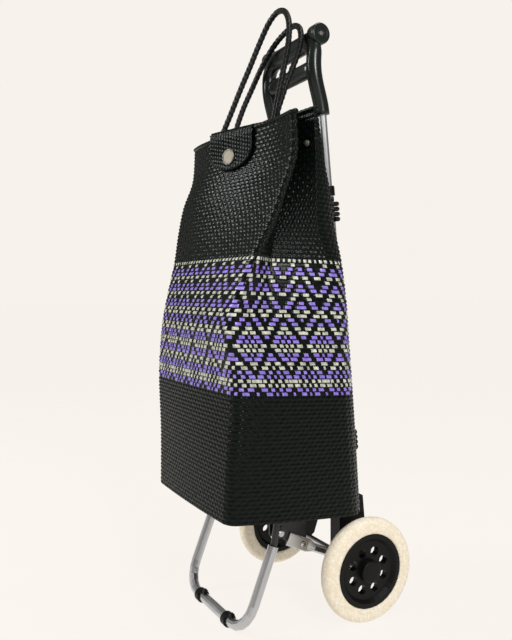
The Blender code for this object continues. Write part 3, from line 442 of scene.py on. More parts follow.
def smooth_path(route: Sequence[Sequence[float]], spacing: float) -> np.ndarray:
    """Evenly spaced points on a Catmull-Rom curve through a route.

    Args:
        route: Points to pass through.
        spacing: Distance between the new points.

    Returns:
        The new points, in order.
    """
    points = np.array(route, float)
    points = np.vstack([2 * points[0] - points[1], points, 2 * points[-1] - points[-2]])
    t = (np.arange(16) / 16)[:, None]
    fine = [
        0.5 * (2 * b + (c - a) * t + (2 * a - 5 * b + 4 * c - d) * t**2 + (3 * b - a - 3 * c + d) * t**3)
        for a, b, c, d in zip(points, points[1:], points[2:], points[3:])
    ]
    return resampled(np.vstack([*fine, points[-2:-1]]), spacing)


def resampled(points: np.ndarray, spacing: float) -> np.ndarray:
    """The same line with evenly spaced points."""
    walked = np.concatenate([[0], np.cumsum(np.linalg.norm(np.diff(points, axis=0), axis=1))])
    even = np.linspace(0, walked[-1], max(int(round(walked[-1] / spacing)), 2) + 1)
    return np.stack([np.interp(even, walked, points[:, k]) for k in range(3)], axis=1)


def carried_axes(path: np.ndarray, closed: bool) -> tuple[np.ndarray, np.ndarray]:
    """Two section axes at each point, carried along the path without twist.

    Args:
        path: The points of the line.
        closed: Whether the line closes on itself.

    Returns:
        The first and the second axis at each point.
    """
    if closed:
        tangents = unit(np.roll(path, -1, 0) - np.roll(path, 1, 0))
    else:
        tangents = unit(np.gradient(path, axis=0))
    seed = np.array([0.0, 0.0, 1.0]) if abs(tangents[0][2]) < 0.9 else np.array([1.0, 0.0, 0.0])
    first = []
    for tangent in tangents:
        seed = seed - tangent * seed.dot(tangent)
        seed = seed / np.linalg.norm(seed)
        first.append(seed)
    firsts = np.array(first)
    return firsts, np.cross(tangents, firsts)


def make_tube(
    name: str,
    path: np.ndarray,
    radii: np.ndarray,
    material: bpy.types.Material,
    steps: int = 24,
    relief: Callable[[np.ndarray, np.ndarray], np.ndarray] | None = None,
    closed: bool = False,
    axes: tuple[np.ndarray, np.ndarray] | None = None,
) -> bpy.types.Object:
    """A tube swept along a path.

    Args:
        name: The object's name.
        path: The points of its middle line.
        radii: Half sizes along both section axes, one row for each point.
        material: Its material.
        steps: Points round the section.
        relief: Factor on the radius from the angle and the distance along, or none.
        closed: Whether the path closes on itself.
        axes: The section axes at each point, or none to carry them along.

    Returns:
        The new object.
    """
    first, second = axes or carried_axes(path, closed)
    if not closed:
        path = np.vstack([path[:1], path, path[-1:]])
        first, second = (np.vstack([a[:1], a, a[-1:]]) for a in (first, second))
        tip = np.full((1, 2), 1e-5)
        radii = np.vstack([tip, radii, tip])
    walked = np.concatenate([[0], np.cumsum(np.linalg.norm(np.diff(path, axis=0), axis=1))])
    angle = 2 * np.pi * np.arange(steps) / steps
    along, around = np.meshgrid(walked, angle, indexing="ij")
    factor = relief(around, along) if relief else np.ones_like(around)
    a = (radii[:, :1] * np.cos(around) * factor)[..., None]
    b = (radii[:, 1:] * np.sin(around) * factor)[..., None]
    points = path[:, None] + first[:, None] * a + second[:, None] * b
    uv = np.stack([around * radii.max(), along], axis=-1)
    if closed:
        points, uv = np.concatenate([points, points[:1]]), np.concatenate([uv, uv[:1]])
    return make_grid(name, points, True, [material], uv=uv)


def turned_points(profile: Sequence[tuple[float, float]], steps: int) -> np.ndarray:
    """A closed (x, radius) outline turned round X, as rows of points."""
    x, r = np.array(profile + [profile[0]], float).T
    angle = 2 * np.pi * np.arange(steps) / steps
    return np.stack([np.outer(x, np.ones(steps)), np.outer(r, np.cos(angle)), np.outer(r, np.sin(angle))], axis=-1)


def braid_relief(strands: float, pitch: float, depth: float) -> Callable[[np.ndarray, np.ndarray], np.ndarray]:
    """Crossing strands of a braid, as a factor on the radius.

    Args:
        strands: Half the number of ridges each way.
        pitch: Distance in which a strand goes once round.
        depth: How deep the grooves are, as a share of the radius.

    Returns:
        A function of the angle and of the distance along.
    """

    def relief(around: np.ndarray, along: np.ndarray) -> np.ndarray:
        lay = 2 * np.pi * along / pitch
        ridges = np.maximum(np.abs(np.sin(strands * (around + lay))), np.abs(np.sin(strands * (around - lay))))
        return 1 - depth * (1 - ridges**2)

    return relief


def twist_relief(strands: float, pitch: float, depth: float) -> Callable[[np.ndarray, np.ndarray], np.ndarray]:
    """Twisted strands, as a factor on the radius."""

    def relief(around: np.ndarray, along: np.ndarray) -> np.ndarray:
        return 1 - depth * (1 - np.abs(np.sin(strands * (around + 2 * np.pi * along / pitch))))

    return relief


def upright_y(z: float) -> float:
    """Y of the uprights' middle line at a height above the ground."""
    return AXLE.y + SET_BACK - (z - AXLE.z) * LEAN


# Bag


@dataclass(frozen=True)
class BagLevel:
    """One level of the bag, as a tape and a square would read it.

    Attributes:
        front_height: Height above the bag floor at the front corners.
        back_height: The same at the back.
        front_in: Front panel behind the bag's foremost plane.
        lean: Right half of the front panel behind the left half.
        wave: Depth of the ripple across the front panel.
        widen: Half width over the nominal half width.
        fold: How far the side's gusset folds in.
        fold_at: Where the gusset's valley lies, from 0 at the front to 1 at the back.
        back_in: Back panel forward of the uprights.
        front_radius: Radius of the front corners.
        back_radius: Radius of the back corners.
    """

    front_height: float
    back_height: float
    front_in: float
    lean: float
    wave: float
    widen: float
    fold: float
    fold_at: float
    back_in: float
    front_radius: float
    back_radius: float


BAG_LEVELS = (
    BagLevel(0.0206, -0.0006, 0.0000, 0.0000, 0.000, -0.008, 0.000, 0.35, 0.000, 0.016, 0.050),
    BagLevel(0.1150, 0.0990, 0.0035, 0.0010, 0.000, -0.004, 0.000, 0.35, 0.000, 0.016, 0.050),
    BagLevel(0.2125, 0.1975, 0.0060, 0.0040, 0.000, -0.001, 0.000, 0.35, 0.000, 0.014, 0.050),
    BagLevel(0.2925, 0.2835, 0.0045, -0.0050, 0.000, 0.000, 0.008, 0.33, 0.000, 0.012, 0.048),
    BagLevel(0.3425, 0.3345, 0.0150, -0.0045, 0.000, 0.000, 0.018, 0.31, 0.000, 0.011, 0.045),
    BagLevel(0.4015, 0.3955, 0.0360, 0.0020, 0.001, 0.000, 0.029, 0.30, 0.000, 0.010, 0.050),
    BagLevel(0.4495, 0.4475, 0.0535, 0.0110, 0.003, 0.001, 0.036, 0.32, 0.004, 0.009, 0.058),
    BagLevel(0.4985, 0.5015, 0.0690, 0.0150, 0.006, 0.002, 0.042, 0.38, 0.014, 0.008, 0.044),
    BagLevel(0.5475, 0.5555, 0.0870, 0.0140, 0.010, 0.003, 0.048, 0.50, 0.032, 0.008, 0.022),
    BagLevel(0.6065, 0.6215, 0.0895, 0.0105, 0.013, 0.004, 0.054, 0.60, 0.043, 0.007, 0.008),
)


class Draft:
    """The weaving draft of the bag.

    Each string is half a repeat of one row, from the middle of a hill to the middle of a valley, and is
    mirrored for the other half. A mark is where the row's cord floats over the warp.
    """

    PLAIN = ("#...###..###...#", ".###...##...###.")
    HILL = ("##.....#####....", "####.....#####..")
    BETWEEN = ("..#####......###", ".....####.......")
    BAND = (
        ("#...###..###...#", ".....####......."),
        HILL,
        BETWEEN,
        HILL,
        BETWEEN,
        HILL,
        ("..#####......###", "####......#####."),
        ("#......#####....", "....#####.....##"),
        ("..#####......###", "####......#####."),
        ("##.....#####...#", ".....#####..###."),
        ("..#####...###..#", ".....#####..###."),
        ("##.....#####...#", "####.....######."),
        ("..#####......###", "#....#####.....#"),
        ("..###...#####...", "#...###...#####."),
        ("..###...###.####", "#...###...#####."),
        ("..###...#####...", "#...#####......#"),
    )

    @staticmethod
    def repeat(half: str) -> np.ndarray:
        """One whole repeat of a row, true where the cord floats."""
        marks = np.array([mark == "#" for mark in half])
        return np.concatenate([marks, marks[::-1]])

    @classmethod
    def rows(cls, below: int, above: int) -> tuple[np.ndarray, np.ndarray]:
        """The whole bag's draft from the bottom row to the top row.

        Args:
            below: Plain rows under the band.
            above: Plain rows over it.

        Returns:
            The float marks of each row, and each row's colour: 0 black, 1 violet, 2 cream.
        """
        band = [(half, 2 if pair % 2 == 0 else 1) for pair, halves in enumerate(cls.BAND) for half in halves]
        rows = [(cls.PLAIN[k % 2], 0) for k in range(below)] + band[::-1]
        rows += [(cls.PLAIN[k % 2], 0) for k in range(above)]
        return np.array([cls.repeat(half) for half, _ in rows]), np.array([colour for _, colour in rows])


@dataclass(frozen=True)
class Bag:
    """The woven bag: a lofted shell of woven cord with its lining, base and rolled rim.

    Attributes:
        front: Y of the foremost plane.
        half_width: Nominal half width.
        wall: Thickness of the weave.
        back_gap: Between the uprights and the bag.
        bulge: How far the front panel bows out.
        side_bulge: The same for the sides.
        repeats: Repeats of the draft round the bag.
        band: Heights of the coloured band's lower and upper edge at the front corners.
        rows_below: Plain rows below the band.
        rows_above: Plain rows above it.
        sub_rows: Quads in the height of one row.
        float_height: How far a float stands out of the weave.
        rim_radius: Radius of the rolled rim.
        phase: Cells by which the draft is turned round the bag.
        measured_at: Place in the table of levels where the columns are spaced out.
    """

    front: float = AXLE.y - 0.241
    half_width: float = 0.147
    wall: float = 0.003
    back_gap: float = 0.0045
    bulge: float = 0.004
    side_bulge: float = 0.003
    repeats: int = 16
    band: tuple[float, float] = (0.2050, 0.4015)
    rows_below: int = 30
    rows_above: int = 33
    sub_rows: int = 4
    float_height: float = 0.0026
    rim_radius: float = 0.0036
    phase: int = 11
    measured_at: float = 3.0

    @staticmethod
    def level(t: float) -> BagLevel:
        """A level between two rows of the table, smoothly interpolated."""
        table = np.array([list(vars(level).values()) for level in BAG_LEVELS])
        last = len(table) - 1
        row = min(int(t), last - 1)
        s = t - row
        a, b, c, d = table[max(row - 1, 0)], table[row], table[row + 1], table[min(row + 2, last)]
        mixed = 0.5 * (2 * b + (c - a) * s + (2 * a - 5 * b + 4 * c - d) * s**2 + (3 * b - a - 3 * c + d) * s**3)
        return BagLevel(*mixed)

    @classmethod
    def level_at(cls, heights: np.ndarray) -> np.ndarray:
        """Places in the table at these heights of the front corners."""
        places = np.linspace(0, len(BAG_LEVELS) - 1, 400)
        return np.interp(heights, [cls.level(t).front_height for t in places], places)

    def front_y(self, level: BagLevel, x: float) -> float:
        """Y of the front panel at X."""
        share = max(-1.0, min(1.0, x / (self.half_width + level.widen)))
        bow = self.bulge * (1 - share * share)
        return self.front + level.front_in + level.lean * share + level.wave * math.sin(math.pi * share) - bow

    def back_y(self, level: BagLevel) -> float:
        """Y of the back panel."""
        return upright_y(FLOOR + level.back_height) - TUBE_RADIUS - self.back_gap - level.back_in

    def half_plan(self, level: BagLevel, side: int) -> list[tuple[float, float]]:
        """Plan of one half of a level, from the front's middle round to the back's middle."""
        half = self.half_width + level.widen
        back_half = half - 0.11 * level.fold
        front_r, back_r = level.front_radius, level.back_radius
        back_y = self.back_y(level)
        plan = [(x, self.front_y(level, side * x)) for x in np.linspace(0, half - front_r, 12)]
        centre_y = self.front_y(level, side * half) + front_r
        for k in range(1, 5):
            angle = math.pi / 2 * k / 5
            plan.append((half - front_r * (1 - math.sin(angle)), centre_y - front_r * math.cos(angle)))
        start = np.array([half, centre_y])
        end = np.array([back_half, back_y - back_r])
        valley = start + (end - start) * level.fold_at - np.array([level.fold, 0])
        swell = self.side_bulge * (1 - min(level.fold / 0.02, 1.0))
        for a, b, rising in ((start, valley, True), (valley, end, False)):
            for t in np.arange(8) / 8:
                share = t if rising else 1 - t
                out = swell * math.sin(share * math.pi / 2)
                plan.append(tuple(a + (b - a) * t + np.array([out, 0])))
        for k in range(7):
            angle = math.pi / 2 * k / 6
            centre_x = back_half - back_r
            plan.append((centre_x + back_r * math.cos(angle), back_y - back_r + back_r * math.sin(angle)))
        plan += [((back_half - back_r) * s, back_y) for s in (0.75, 0.5, 0.25, 0.0)]
        return [(side * x, y) for x, y in plan]

    def ring(self, t: float) -> np.ndarray:
        """One closed ring of the bag in space."""
        level = self.level(t)
        right, left = self.half_plan(level, 1), self.half_plan(level, -1)
        plan = np.array(right + left[-2:0:-1])
        back_y, front_y = self.back_y(level), self.front + level.front_in
        share = (plan[:, 1] - front_y) / (back_y - front_y)
        height = level.front_height + (level.back_height - level.front_height) * share
        return np.column_stack([plan, FLOOR + height])

    def columns(self, count: int) -> tuple[np.ndarray, np.ndarray]:
        """Evenly spaced columns round the bag, as places between the ring's points, and the distance round."""
        ring = self.ring(self.measured_at)
        closed = np.vstack([ring, ring[:1]])
        walked = np.concatenate([[0], np.cumsum(np.linalg.norm(np.diff(closed, axis=0), axis=1))])
        even = np.linspace(0, walked[-1], count, endpoint=False)
        return np.interp(even, walked, np.arange(len(closed))), even

    def surface(self, heights: np.ndarray, count: int) -> tuple[np.ndarray, np.ndarray, np.ndarray]:
        """The bag's skin.

        Args:
            heights: Heights of the rows at the front corners.
            count: Columns round the bag.

        Returns:
            The points, their outward normals, and their places along the cords in metres.
        """
        places, around = self.columns(count)
        low = places.astype(int)
        share = (places - low)[:, None]
        rows = []
        for t in self.level_at(heights):
            ring = self.ring(t)
            rows.append(ring[low] * (1 - share) + ring[(low + 1) % len(ring)] * share)
        points = np.array(rows)
        across = np.roll(points, -1, 1) - np.roll(points, 1, 1)
        normals = unit(np.cross(across, np.gradient(points, axis=0)))
        uv = np.stack(np.meshgrid(around, heights), axis=-1)
        return points, normals, uv

    def row_heights(self, steps: int) -> np.ndarray:
        """Heights of the weave's rows, each cut in steps."""
        low, rim = BAG_LEVELS[0].front_height, BAG_LEVELS[-1].front_height
        band, top = self.band
        parts = [
            np.linspace(low, band, self.rows_below * steps, endpoint=False),
            np.linspace(band, top, 2 * len(Draft.BAND) * steps, endpoint=False),
            np.linspace(top, rim, self.rows_above * steps + 1),
        ]
        return np.concatenate(parts)

    def build(self, palette: Palette) -> None:
        """Builds the weave, the lining, the base and the rim."""
        marks, colours = Draft.rows(self.rows_below, self.rows_above)
        floats = np.roll(np.tile(marks, (1, self.repeats)), self.phase, axis=1)
        points, normals, uv = self.surface(self.row_heights(self.sub_rows), floats.shape[1])
        weave = make_grid(
            "bag_weave",
            points + normals * self.relief(floats)[..., None],
            True,
            [palette.black_cord, palette.violet_cord, palette.cream_cord],
            self.cord_slots(floats, colours),
            uv,
        )
        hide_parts("bag_shell")
        inner, inward, inner_uv = self.surface(self.row_heights(1), 128)
        lining = make_grid("bag_lining", inner - inward * self.wall, True, [palette.black_cord], uv=inner_uv)
        base = self.make_base(inner[0], palette)
        rim = self.make_rim(points[-1], palette)
        for piece in (weave, lining, base, rim):
            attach(piece, Body.ROOT.value)
            LOG.info("built %s", piece.name)

    def relief(self, floats: np.ndarray) -> np.ndarray:
        """Height of the weave at every point: floats stand proud, and grooves part the rows."""
        at_points = (floats + np.roll(floats, 1, axis=1)) / 2
        arch = np.array([0.0, 0.78, 1.0, 0.78])[: self.sub_rows]
        warp = 0.10 + 0.12 * np.cos(2 * np.pi * np.arange(floats.shape[1]) / 2)[None, :]
        lifts = np.repeat(warp + (1 - warp) * at_points, self.sub_rows, axis=0)
        lifts = lifts * np.tile(arch, len(floats))[:, None]
        return self.float_height * np.vstack([lifts, np.zeros((1, floats.shape[1]))])

    def cord_slots(self, floats: np.ndarray, colours: np.ndarray) -> np.ndarray:
        """Each quad's material: its row's colour on the floats, black elsewhere and in the grooves."""
        shown = floats * colours[:, None]
        sub = np.repeat(shown, self.sub_rows, axis=0).reshape(len(floats), self.sub_rows, -1)
        sub[:, 0, :] = 0
        return sub.reshape(len(floats) * self.sub_rows, -1)

    @staticmethod
    def make_base(ring: np.ndarray, palette: Palette) -> bpy.types.Object:
        """The flat woven bottom, from the first ring in to its middle."""
        middle = ring.mean(axis=0)
        shares = np.linspace(0, 0.999, 12)[:, None, None]
        points = ring[None] * (1 - shares) + middle[None, None] * shares
        return make_grid("bag_base", points[::-1], True, [palette.black_cord], uv=points[::-1][..., :2])

    def make_rim(self, ring: np.ndarray, palette: Palette) -> bpy.types.Object:
        """The rolled rim: the weave's ends turned over and lashed with a slanting cord."""
        line = ring + np.array([0, 0, -0.0012])
        radii = np.full((len(line), 2), self.rim_radius)
        return make_tube(
            "bag_rim", line, radii, palette.black_cord, 14, twist_relief(1.0, 0.018, 0.22), closed=True
        )


@dataclass(frozen=True)
class Tab:
    """The woven flap that closes the mouth and snaps to the front.

    Attributes:
        middle: X of its middle.
        half_width: Half its width.
        thickness: Its thickness.
        stand_off: Between it and the bag's front.
        end: Height of its rounded end above the bag floor.
        columns: Quads across.
        rows: Quads along.
        rib: Pitch of the cords across.
        row: Pitch of the cords along.
        relief: Height of the weave.
        edge_radius: Radius of the corded edge.
    """

    middle: float = -0.006
    half_width: float = 0.046
    thickness: float = 0.003
    stand_off: float = 0.0035
    end: float = 0.5485
    columns: int = 160
    rows: int = 180
    rib: float = 0.0058
    row: float = 0.0062
    relief: float = 0.0013
    edge_radius: float = 0.0021

    def column(self, x: float, bag: Bag) -> np.ndarray:
        """The flap's outer face in one column, from the hinge over the mouth and down the front."""
        rim = BAG_LEVELS[-1]
        back = bag.back_y(rim) - bag.wall / 2
        front = bag.front_y(rim, x)
        out = self.stand_off + self.thickness
        top_back = rim.back_height + self.thickness + 0.0013
        top_front = rim.front_height + self.thickness + 0.0033
        line = [(back, top_back - 0.0015), (back - 0.014, top_back + 0.0008)]
        line += [(back + (front - back) * t, top_back + (top_front - top_back) * t) for t in (0.5, 0.8)]
        line += [(front - out + 0.0045, top_front - 0.0008), (front - out + 0.0012, top_front - 0.0045)]
        share = abs(x - self.middle) / self.half_width
        end = self.end + 0.030 * (1 - math.sqrt(max(0.0, 1 - share**2)))
        start = rim.front_height - 0.008
        for height in np.linspace(start, end, 8):
            level = Bag.level(float(Bag.level_at(np.array([height]))[0]))
            line.append((bag.front_y(level, x) - out, height))
        points = np.array([(x, y, FLOOR + h) for y, h in line])
        walked = np.concatenate([[0], np.cumsum(np.linalg.norm(np.diff(points, axis=0), axis=1))])
        even = np.linspace(0, walked[-1], self.rows + 1)
        return np.stack([np.interp(even, walked, points[:, k]) for k in range(3)], axis=1)

    def build(self, bag: Bag, palette: Palette) -> None:
        """Builds the flap and its corded edge."""
        xs = self.middle - self.half_width * np.cos(np.pi * np.arange(self.columns + 1) / self.columns)
        points = np.stack([self.column(float(x), bag) for x in xs], axis=1)
        normals = unit(np.cross(np.gradient(points, axis=1), np.gradient(points, axis=0)))
        if normals[self.rows // 4, self.columns // 2, 2] < 0:
            normals = -normals
        steps = np.linalg.norm(np.diff(points, axis=0), axis=2)
        along = np.vstack([np.zeros((1, steps.shape[1])), np.cumsum(steps, axis=0)])
        ribs = np.abs(np.sin(np.pi * (points[..., 0] - self.middle) / self.rib))
        rows = np.abs(np.sin(np.pi * along / self.row))
        lifted = points + normals * (self.relief * ribs * (0.6 + 0.4 * rows))[..., None]
        uv = np.stack([points[..., 0], along], axis=-1)
        flap = make_grid("tab_weave", lifted, False, [palette.black_cord], uv=uv)
        back_face = points - normals * (self.thickness * 0.8)
        under = make_grid("tab_backing", back_face, False, [palette.black_cord], uv=uv)
        edge_line = np.concatenate([points[:, 0], points[-1, 1:-1], points[::-1, -1]])
        inward = np.concatenate([normals[:, 0], normals[-1, 1:-1], normals[::-1, -1]])
        edge_line = resampled(edge_line - inward * self.thickness / 2, 0.0015)
        radii = np.full((len(edge_line), 2), self.edge_radius)
        edge = make_tube("tab_edge", edge_line, radii, palette.black_cord, 10, twist_relief(1.0, 0.012, 0.2))
        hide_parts("closing_tab")
        for piece in (flap, under, edge):
            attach(piece, Body.TAB.value)
            LOG.info("built %s", piece.name)


# Ropes and lashings


@dataclass(frozen=True)
class Rope:
    """One carrying rope: a free braided cord, stiff enough to stand up.

    Attributes:
        name: The piece's name.
        node: The CAD piece it stands for.
        route: Its way, as X, Y from the axle and height above the bag floor.
        radius: Its radius.
    """

    name: str
    node: str
    route: tuple[tuple[float, float, float], ...]
    radius: float = 0.0046

    def build(self, palette: Palette) -> None:
        route = [(x, AXLE.y + y, FLOOR + h) for x, y, h in self.route]
        line = smooth_path(route, 0.0013)
        radii = np.full((len(line), 2), self.radius * 1.06)
        rope = make_tube(self.name, line, radii, palette.braid, 32, braid_relief(1.5, 0.026, 0.2))
        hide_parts(self.node)
        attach(rope, Body.ROOT.value)


FRONT_ROPE = Rope(
    "front_carrying_rope",
    "rope_front",
    (
        (-0.082, -0.150, 0.5965), (-0.077, -0.140, 0.6235), (-0.070, -0.128, 0.6565), (-0.062, -0.115, 0.6935),
        (-0.053, -0.101, 0.7315), (-0.044, -0.088, 0.7685), (-0.031, -0.077, 0.8005), (-0.012, -0.072, 0.8135),
        (0.012, -0.0735, 0.8085), (0.034, -0.079, 0.7930), (0.050, -0.085, 0.7710), (0.0590, -0.092, 0.7390),
        (0.063, -0.101, 0.7060), (0.0635, -0.112, 0.6600), (0.0615, -0.121, 0.6150), (0.059, -0.1235, 0.5885),
    ),
)
BACK_ROPE = Rope(
    "back_carrying_rope",
    "rope_back",
    (
        (-0.085, -0.1170, 0.5940), (-0.087, -0.1110, 0.6300), (-0.088, -0.0970, 0.6680), (-0.083, -0.082, 0.7035),
        (-0.069, -0.073, 0.7330), (-0.050, -0.067, 0.7560), (-0.028, -0.0615, 0.7730), (-0.004, -0.059, 0.7815),
        (0.022, -0.0595, 0.7830), (0.044, -0.062, 0.7720), (0.056, -0.067, 0.7500), (0.0590, -0.076, 0.7220),
        (0.0560, -0.088, 0.6910), (0.0520, -0.098, 0.6610), (0.0490, -0.1075, 0.6290), (0.0480, -0.1100, 0.6000),
    ),
)


@dataclass(frozen=True)
class Lashing:
    """Cord wound round an upright and through the bag's back, four turns high.

    Attributes:
        cord_radius: The cord's radius.
        turns: Turns of the cord.
        squeeze: Reach of the cord on the bag's side, as a share of its reach elsewhere.
    """

    cord_radius: float = 0.0039
    turns: int = 4
    squeeze: float = 0.73

    def build(self, node: str, palette: Palette) -> None:
        """Builds the lashing that stands for one CAD piece."""
        low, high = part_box(node)
        x = (low.x + high.x) / 2
        bottom, top = low.z + self.cord_radius, high.z - self.cord_radius
        angle = np.linspace(0, 2 * np.pi * self.turns, 24 * self.turns + 1)
        heights = bottom + (top - bottom) * angle / angle[-1]
        radius = TUBE_RADIUS + self.cord_radius + 0.0003
        reach = np.where(np.sin(angle) < 0, radius * self.squeeze, radius)
        line = np.column_stack(
            [x + radius * np.cos(angle), [upright_y(z) for z in heights] + reach * np.sin(angle), heights]
        )
        line = resampled(line, 0.0016)
        radii = np.full((len(line), 2), self.cord_radius)
        cord = make_tube(f"{node}_cord", line, radii, palette.braid, 14, twist_relief(1.5, 0.016, 0.2))
        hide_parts(node)
        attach(cord, Body.ROOT.value)
        LOG.info("built %s", cord.name)


# Handle


@dataclass(frozen=True)
class Handle:
    """The glossy ladder handle: two arms, the bar, the rung and a boss disc at each end of the bar.

    Attributes:
        foot: Height of the arms' lower ends above the bag floor.
        bar: Height of the bar's middle.
        rung: Height of the rung's middle.
        arm_radius: Radius of an arm.
        corner: Radius of the corners.
        forward: How far the arms bow forward.
        bar_half: Half depth and half height of the bar.
        rung_half: The same for the rung.
        disc_radius: Radius of a boss disc.
        disc_x: Inner and outer face of a boss disc.
        disc_back: Disc's centre behind the arm.
        disc_up: Disc's centre above the bar's middle.
        screw_hole: Radius of the hole for the disc's screw.
    """

    foot: float = 0.6315
    bar: float = 0.7485
    rung: float = 0.7035
    arm_radius: float = 0.012
    corner: float = 0.026
    forward: float = 0.0085
    bar_half: tuple[float, float] = (0.010, 0.0165)
    rung_half: tuple[float, float] = (0.0082, 0.0138)
    disc_radius: float = 0.0165
    disc_x: tuple[float, float] = (0.064, 0.0838)
    disc_back: float = 0.0045
    disc_up: float = 0.0065
    screw_hole: float = 0.0044

    def point(self, x: float, height: float) -> tuple[float, float, float]:
        """A point on the handle's middle surface."""
        rise = (height - self.foot) / (self.bar - self.foot)
        bow = self.forward * math.sin(math.pi * min(max(rise * 0.86, 0.0), 1.0)) ** 2
        z = FLOOR + height
        return x, upright_y(z) - bow, z

    def outline(self) -> list[tuple[float, float]]:
        """The U of the handle as X and height, from foot to foot."""
        top = self.bar - self.corner
        left = [(-UPRIGHT_X, h) for h in np.linspace(self.foot, top, 24, endpoint=False)]
        inner = UPRIGHT_X - self.corner
        arc = [
            (-inner - self.corner * math.cos(a), top + self.corner * math.sin(a))
            for a in np.linspace(0, math.pi / 2, 14)
        ]
        bar = [(x, self.bar) for x in np.linspace(-inner, inner, 14)[1:-1]]
        return left + arc + bar + [(-x, h) for x, h in reversed(left + arc)]

    def build(self, palette: Palette) -> None:
        """Builds the grip's pieces."""
        outline = self.outline()
        share = np.clip([(h - self.bar + self.corner) / self.corner for _, h in outline], 0, 1)[:, None]
        radii = self.arm_radius + (np.array([self.bar_half]) - self.arm_radius) * share
        path = np.array([self.point(x, h) for x, h in outline])
        grip = self.sweep("handle_arms", path, radii, palette)
        rung_path = np.array([self.point(x, self.rung) for x in np.linspace(-UPRIGHT_X, UPRIGHT_X, 9)])
        rung = self.sweep("handle_rung", rung_path, np.tile(self.rung_half, (9, 1)), palette)
        pieces = [grip, rung]
        for side, name in ((-1, "left"), (1, "right")):
            pieces.append(self.disc(side, name, palette))
        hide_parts("handle_grip")
        for piece in pieces:
            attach(piece, Body.HANDLE.value)
            LOG.info("built %s", piece.name)

    @staticmethod
    def sweep(name: str, path: np.ndarray, radii: np.ndarray, palette: Palette) -> bpy.types.Object:
        """A bar whose first section axis stays front to back."""
        tangents = unit(np.gradient(path, axis=0))
        first = np.array([0.0, 1.0, 0.0]) - tangents * tangents[:, 1:2]
        first = unit(first)
        return make_tube(name, path, radii, palette.gloss, 40, axes=(first, np.cross(tangents, first)))

    def disc(self, side: int, name: str, palette: Palette) -> bpy.types.Object:
        """A boss disc with a rounded edge, a dished face and a hole for its screw."""
        inner, outer = self.disc_x
        _, y, z = self.point(side * UPRIGHT_X, self.bar)
        r, hole = self.disc_radius, self.screw_hole
        turn = np.linspace(0, math.pi / 2, 6)
        edge = [(outer - 0.003 + 0.003 * math.sin(a), r - 0.003 + 0.003 * math.cos(a)) for a in turn]
        face = [
            (outer, r - 0.0045), (outer - 0.0009, r - 0.0065), (outer - 0.0009, hole + 0.0012),
            (outer - 0.0004, hole + 0.0004), (outer - 0.006, hole), (outer - 0.006, 0.0001),
        ]
        profile = [(inner, 0.0001), (inner, r - 0.002), (inner + 0.002, r)] + edge + face
        points = turned_points([(side * px, pr) for px, pr in profile], 72)
        points = points + np.array([0, y + self.disc_back, z + self.disc_up])
        return make_grid(f"handle_boss_{name}", points if side < 0 else points[::-1], True, [palette.gloss])


# Wheels


@dataclass(frozen=True)
class Tyre:
    """A solid foam tyre with a rounded tread and a slightly uneven skin.

    Attributes:
        radius: Radius of the tread.
        seat: Radius of the seat on the hub.
        width: Its width.
        unevenness: How far the skin wanders.
    """

    radius: float = 0.0825
    seat: float = 0.0588
    width: float = 0.024
    unevenness: float = 0.00035

    def build(self, side: int, body: Body, palette: Palette) -> None:
        """Builds one tyre on its wheel's body."""
        half = self.width / 2
        shoulder = self.radius - half * 0.72
        profile = [(-half + 0.001, self.seat), (half - 0.001, self.seat), (half, self.seat + 0.003)]
        profile += [(half, r) for r in np.linspace(self.seat + 0.005, shoulder, 5)]
        for angle in np.linspace(0, math.pi, 17)[1:-1]:
            profile.append((half * math.cos(angle), shoulder + (self.radius - shoulder) * math.sin(angle)))
        profile += [(-half, r) for r in np.linspace(shoulder, self.seat + 0.003, 6)]
        points = turned_points(profile, 144)
        turn = np.arange(144) * 2 * np.pi / 144
        wander = sum(np.sin(n * turn + 1.7 * n) for n in (5, 9, 14, 23, 31)) / 5
        rows = np.sin(np.arange(len(points)) * 1.3)[:, None]
        radial = points * np.array([0, 1, 1])
        points = points - unit(radial) * (self.unevenness * (0.5 + 0.5 * wander * rows))[..., None]
        name = "left" if side < 0 else "right"
        low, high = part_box(f"tyre_{name}")
        points = points + np.array((low + high) / 2)
        tyre = make_grid(f"foam_tyre_{name}", points[::-1], True, [palette.foam])
        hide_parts(f"tyre_{name}")
        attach(tyre, body.value)
        LOG.info("built %s", tyre.name)


# Studio


@dataclass(frozen=True)
class Lamp:
    """One large soft square light.

    Attributes:
        name: Its name.
        at: Its place.
        size: Length of its side.
        power: Its power in watts.
    """

    name: str
    at: tuple[float, float, float]
    size: float
    power: float

    def build(self, target: Vector) -> None:
        """Adds the light, facing the target."""
        data = bpy.data.lights.new(self.name, "AREA")
        data.size, data.energy = self.size, self.power
        lamp = bpy.data.objects.new(self.name, data)
        lamp.location = self.at
        lamp.rotation_euler = (target - Vector(self.at)).to_track_quat("-Z", "Y").to_euler()
        bpy.context.scene.collection.objects.link(lamp)


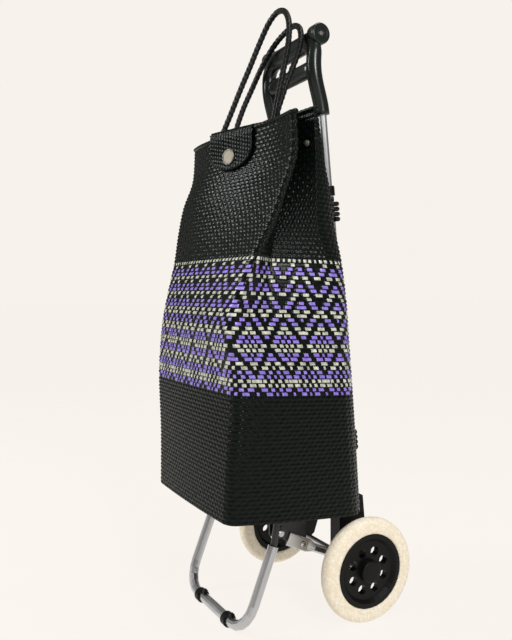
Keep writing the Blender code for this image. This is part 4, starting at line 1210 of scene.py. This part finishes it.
@dataclass(frozen=True)
class Studio:
    """A pale seamless room with large soft lights, and the camera.

    Attributes:
        paper: Colour of the walls and the floor.
        camera_at: The camera's place.
        azimuth: Its turn round the trolley, in degrees.
        elevation: How far it looks down, in degrees.
        roll: Its roll, in degrees.
        lens: Its focal length in millimetres on a 36 mm sensor.
        fill: Brightness of the room around the trolley, next to the lit paper behind it.
        floor_half: Half the width of the floor.
        bag_middle: Height of the bag's middle, which the lights face.
        lamps: The lights.
    """

    paper: str = "F7F2EC"
    camera_at: tuple[float, float, float] = (1.020, -0.58575, 0.521)
    azimuth: float = 61.81
    elevation: float = 2.37
    roll: float = -0.31
    lens: float = 39.63
    fill: float = 0.24
    floor_half: float = 30.0
    bag_middle: float = 0.45
    lamps: tuple[Lamp, ...] = (
        Lamp("key_light", (-0.9, -1.9, 1.7), 0.7, 40),
        Lamp("top_light", (0.5, 0.2, 2.4), 0.9, 20),
        Lamp("side_light", (2.0, -0.3, 1.5), 0.45, 30),
    )

    def place_camera(self) -> None:
        """Adds the camera."""
        a, e, roll = (math.radians(v) for v in (self.azimuth, self.elevation, self.roll))
        back = Vector((math.sin(a) * math.cos(e), -math.cos(a) * math.cos(e), math.sin(e)))
        right = Vector((math.cos(a), math.sin(a), 0))
        up = back.cross(right)
        r = right * math.cos(roll) + up * math.sin(roll)
        u = up * math.cos(roll) - right * math.sin(roll)
        data = bpy.data.cameras.new("studio_camera")
        data.lens = self.lens
        data.sensor_width = 36.0
        camera = bpy.data.objects.new("studio_camera", data)
        turned = Matrix((r, u, back)).transposed().to_4x4()
        camera.matrix_world = Matrix.Translation(self.camera_at) @ turned
        bpy.context.scene.collection.objects.link(camera)
        bpy.context.scene.camera = camera

    def build(self, palette: Palette) -> None:
        """Adds the room, the lights, the floor and the camera."""
        world = bpy.data.worlds.new("studio")
        world.use_nodes = True
        tree = world.node_tree
        backdrop = tree.nodes["Background"]
        backdrop.inputs["Color"].default_value = linear(self.paper)
        rays = add_node(tree, "ShaderNodeLightPath")
        level = add_node(
            tree,
            "ShaderNodeMapRange",
            {"To Min": self.fill, "To Max": 1.0},
            {"Value": rays.outputs["Is Camera Ray"]},
        )
        tree.links.new(level.outputs["Result"], backdrop.inputs["Strength"])
        bpy.context.scene.world = world
        bpy.context.scene.view_settings.view_transform = "Standard"
        for lamp in self.lamps:
            lamp.build(Vector((0, 0, self.bag_middle)))
        size = self.floor_half
        corners = np.array([[[-size, -size, 0], [size, -size, 0]], [[-size, size, 0], [size, size, 0]]])
        floor = make_grid("studio_floor", corners, False, [palette.floor])
        self.place_camera()


def main() -> None:
    """Builds the trolley's looks, piece by piece."""
    logging.basicConfig(level=logging.INFO, format="%(message)s")
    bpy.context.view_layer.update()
    palette = Palette()
    palette.dress_nodes()
    Studio().build(palette)
    FRONT_ROPE.build(palette)
    BACK_ROPE.build(palette)
    bag = Bag()
    bag.build(palette)
    Tab().build(bag, palette)
    for name in ("tie_lower_left", "tie_lower_right", "tie_upper_left", "tie_upper_right"):
        Lashing().build(name, palette)
    Handle().build(palette)
    for side, body in ((-1, Body.WHEEL_LEFT), (1, Body.WHEEL_RIGHT)):
        Tyre().build(side, body, palette)


if __name__ == "__main__":
    main()
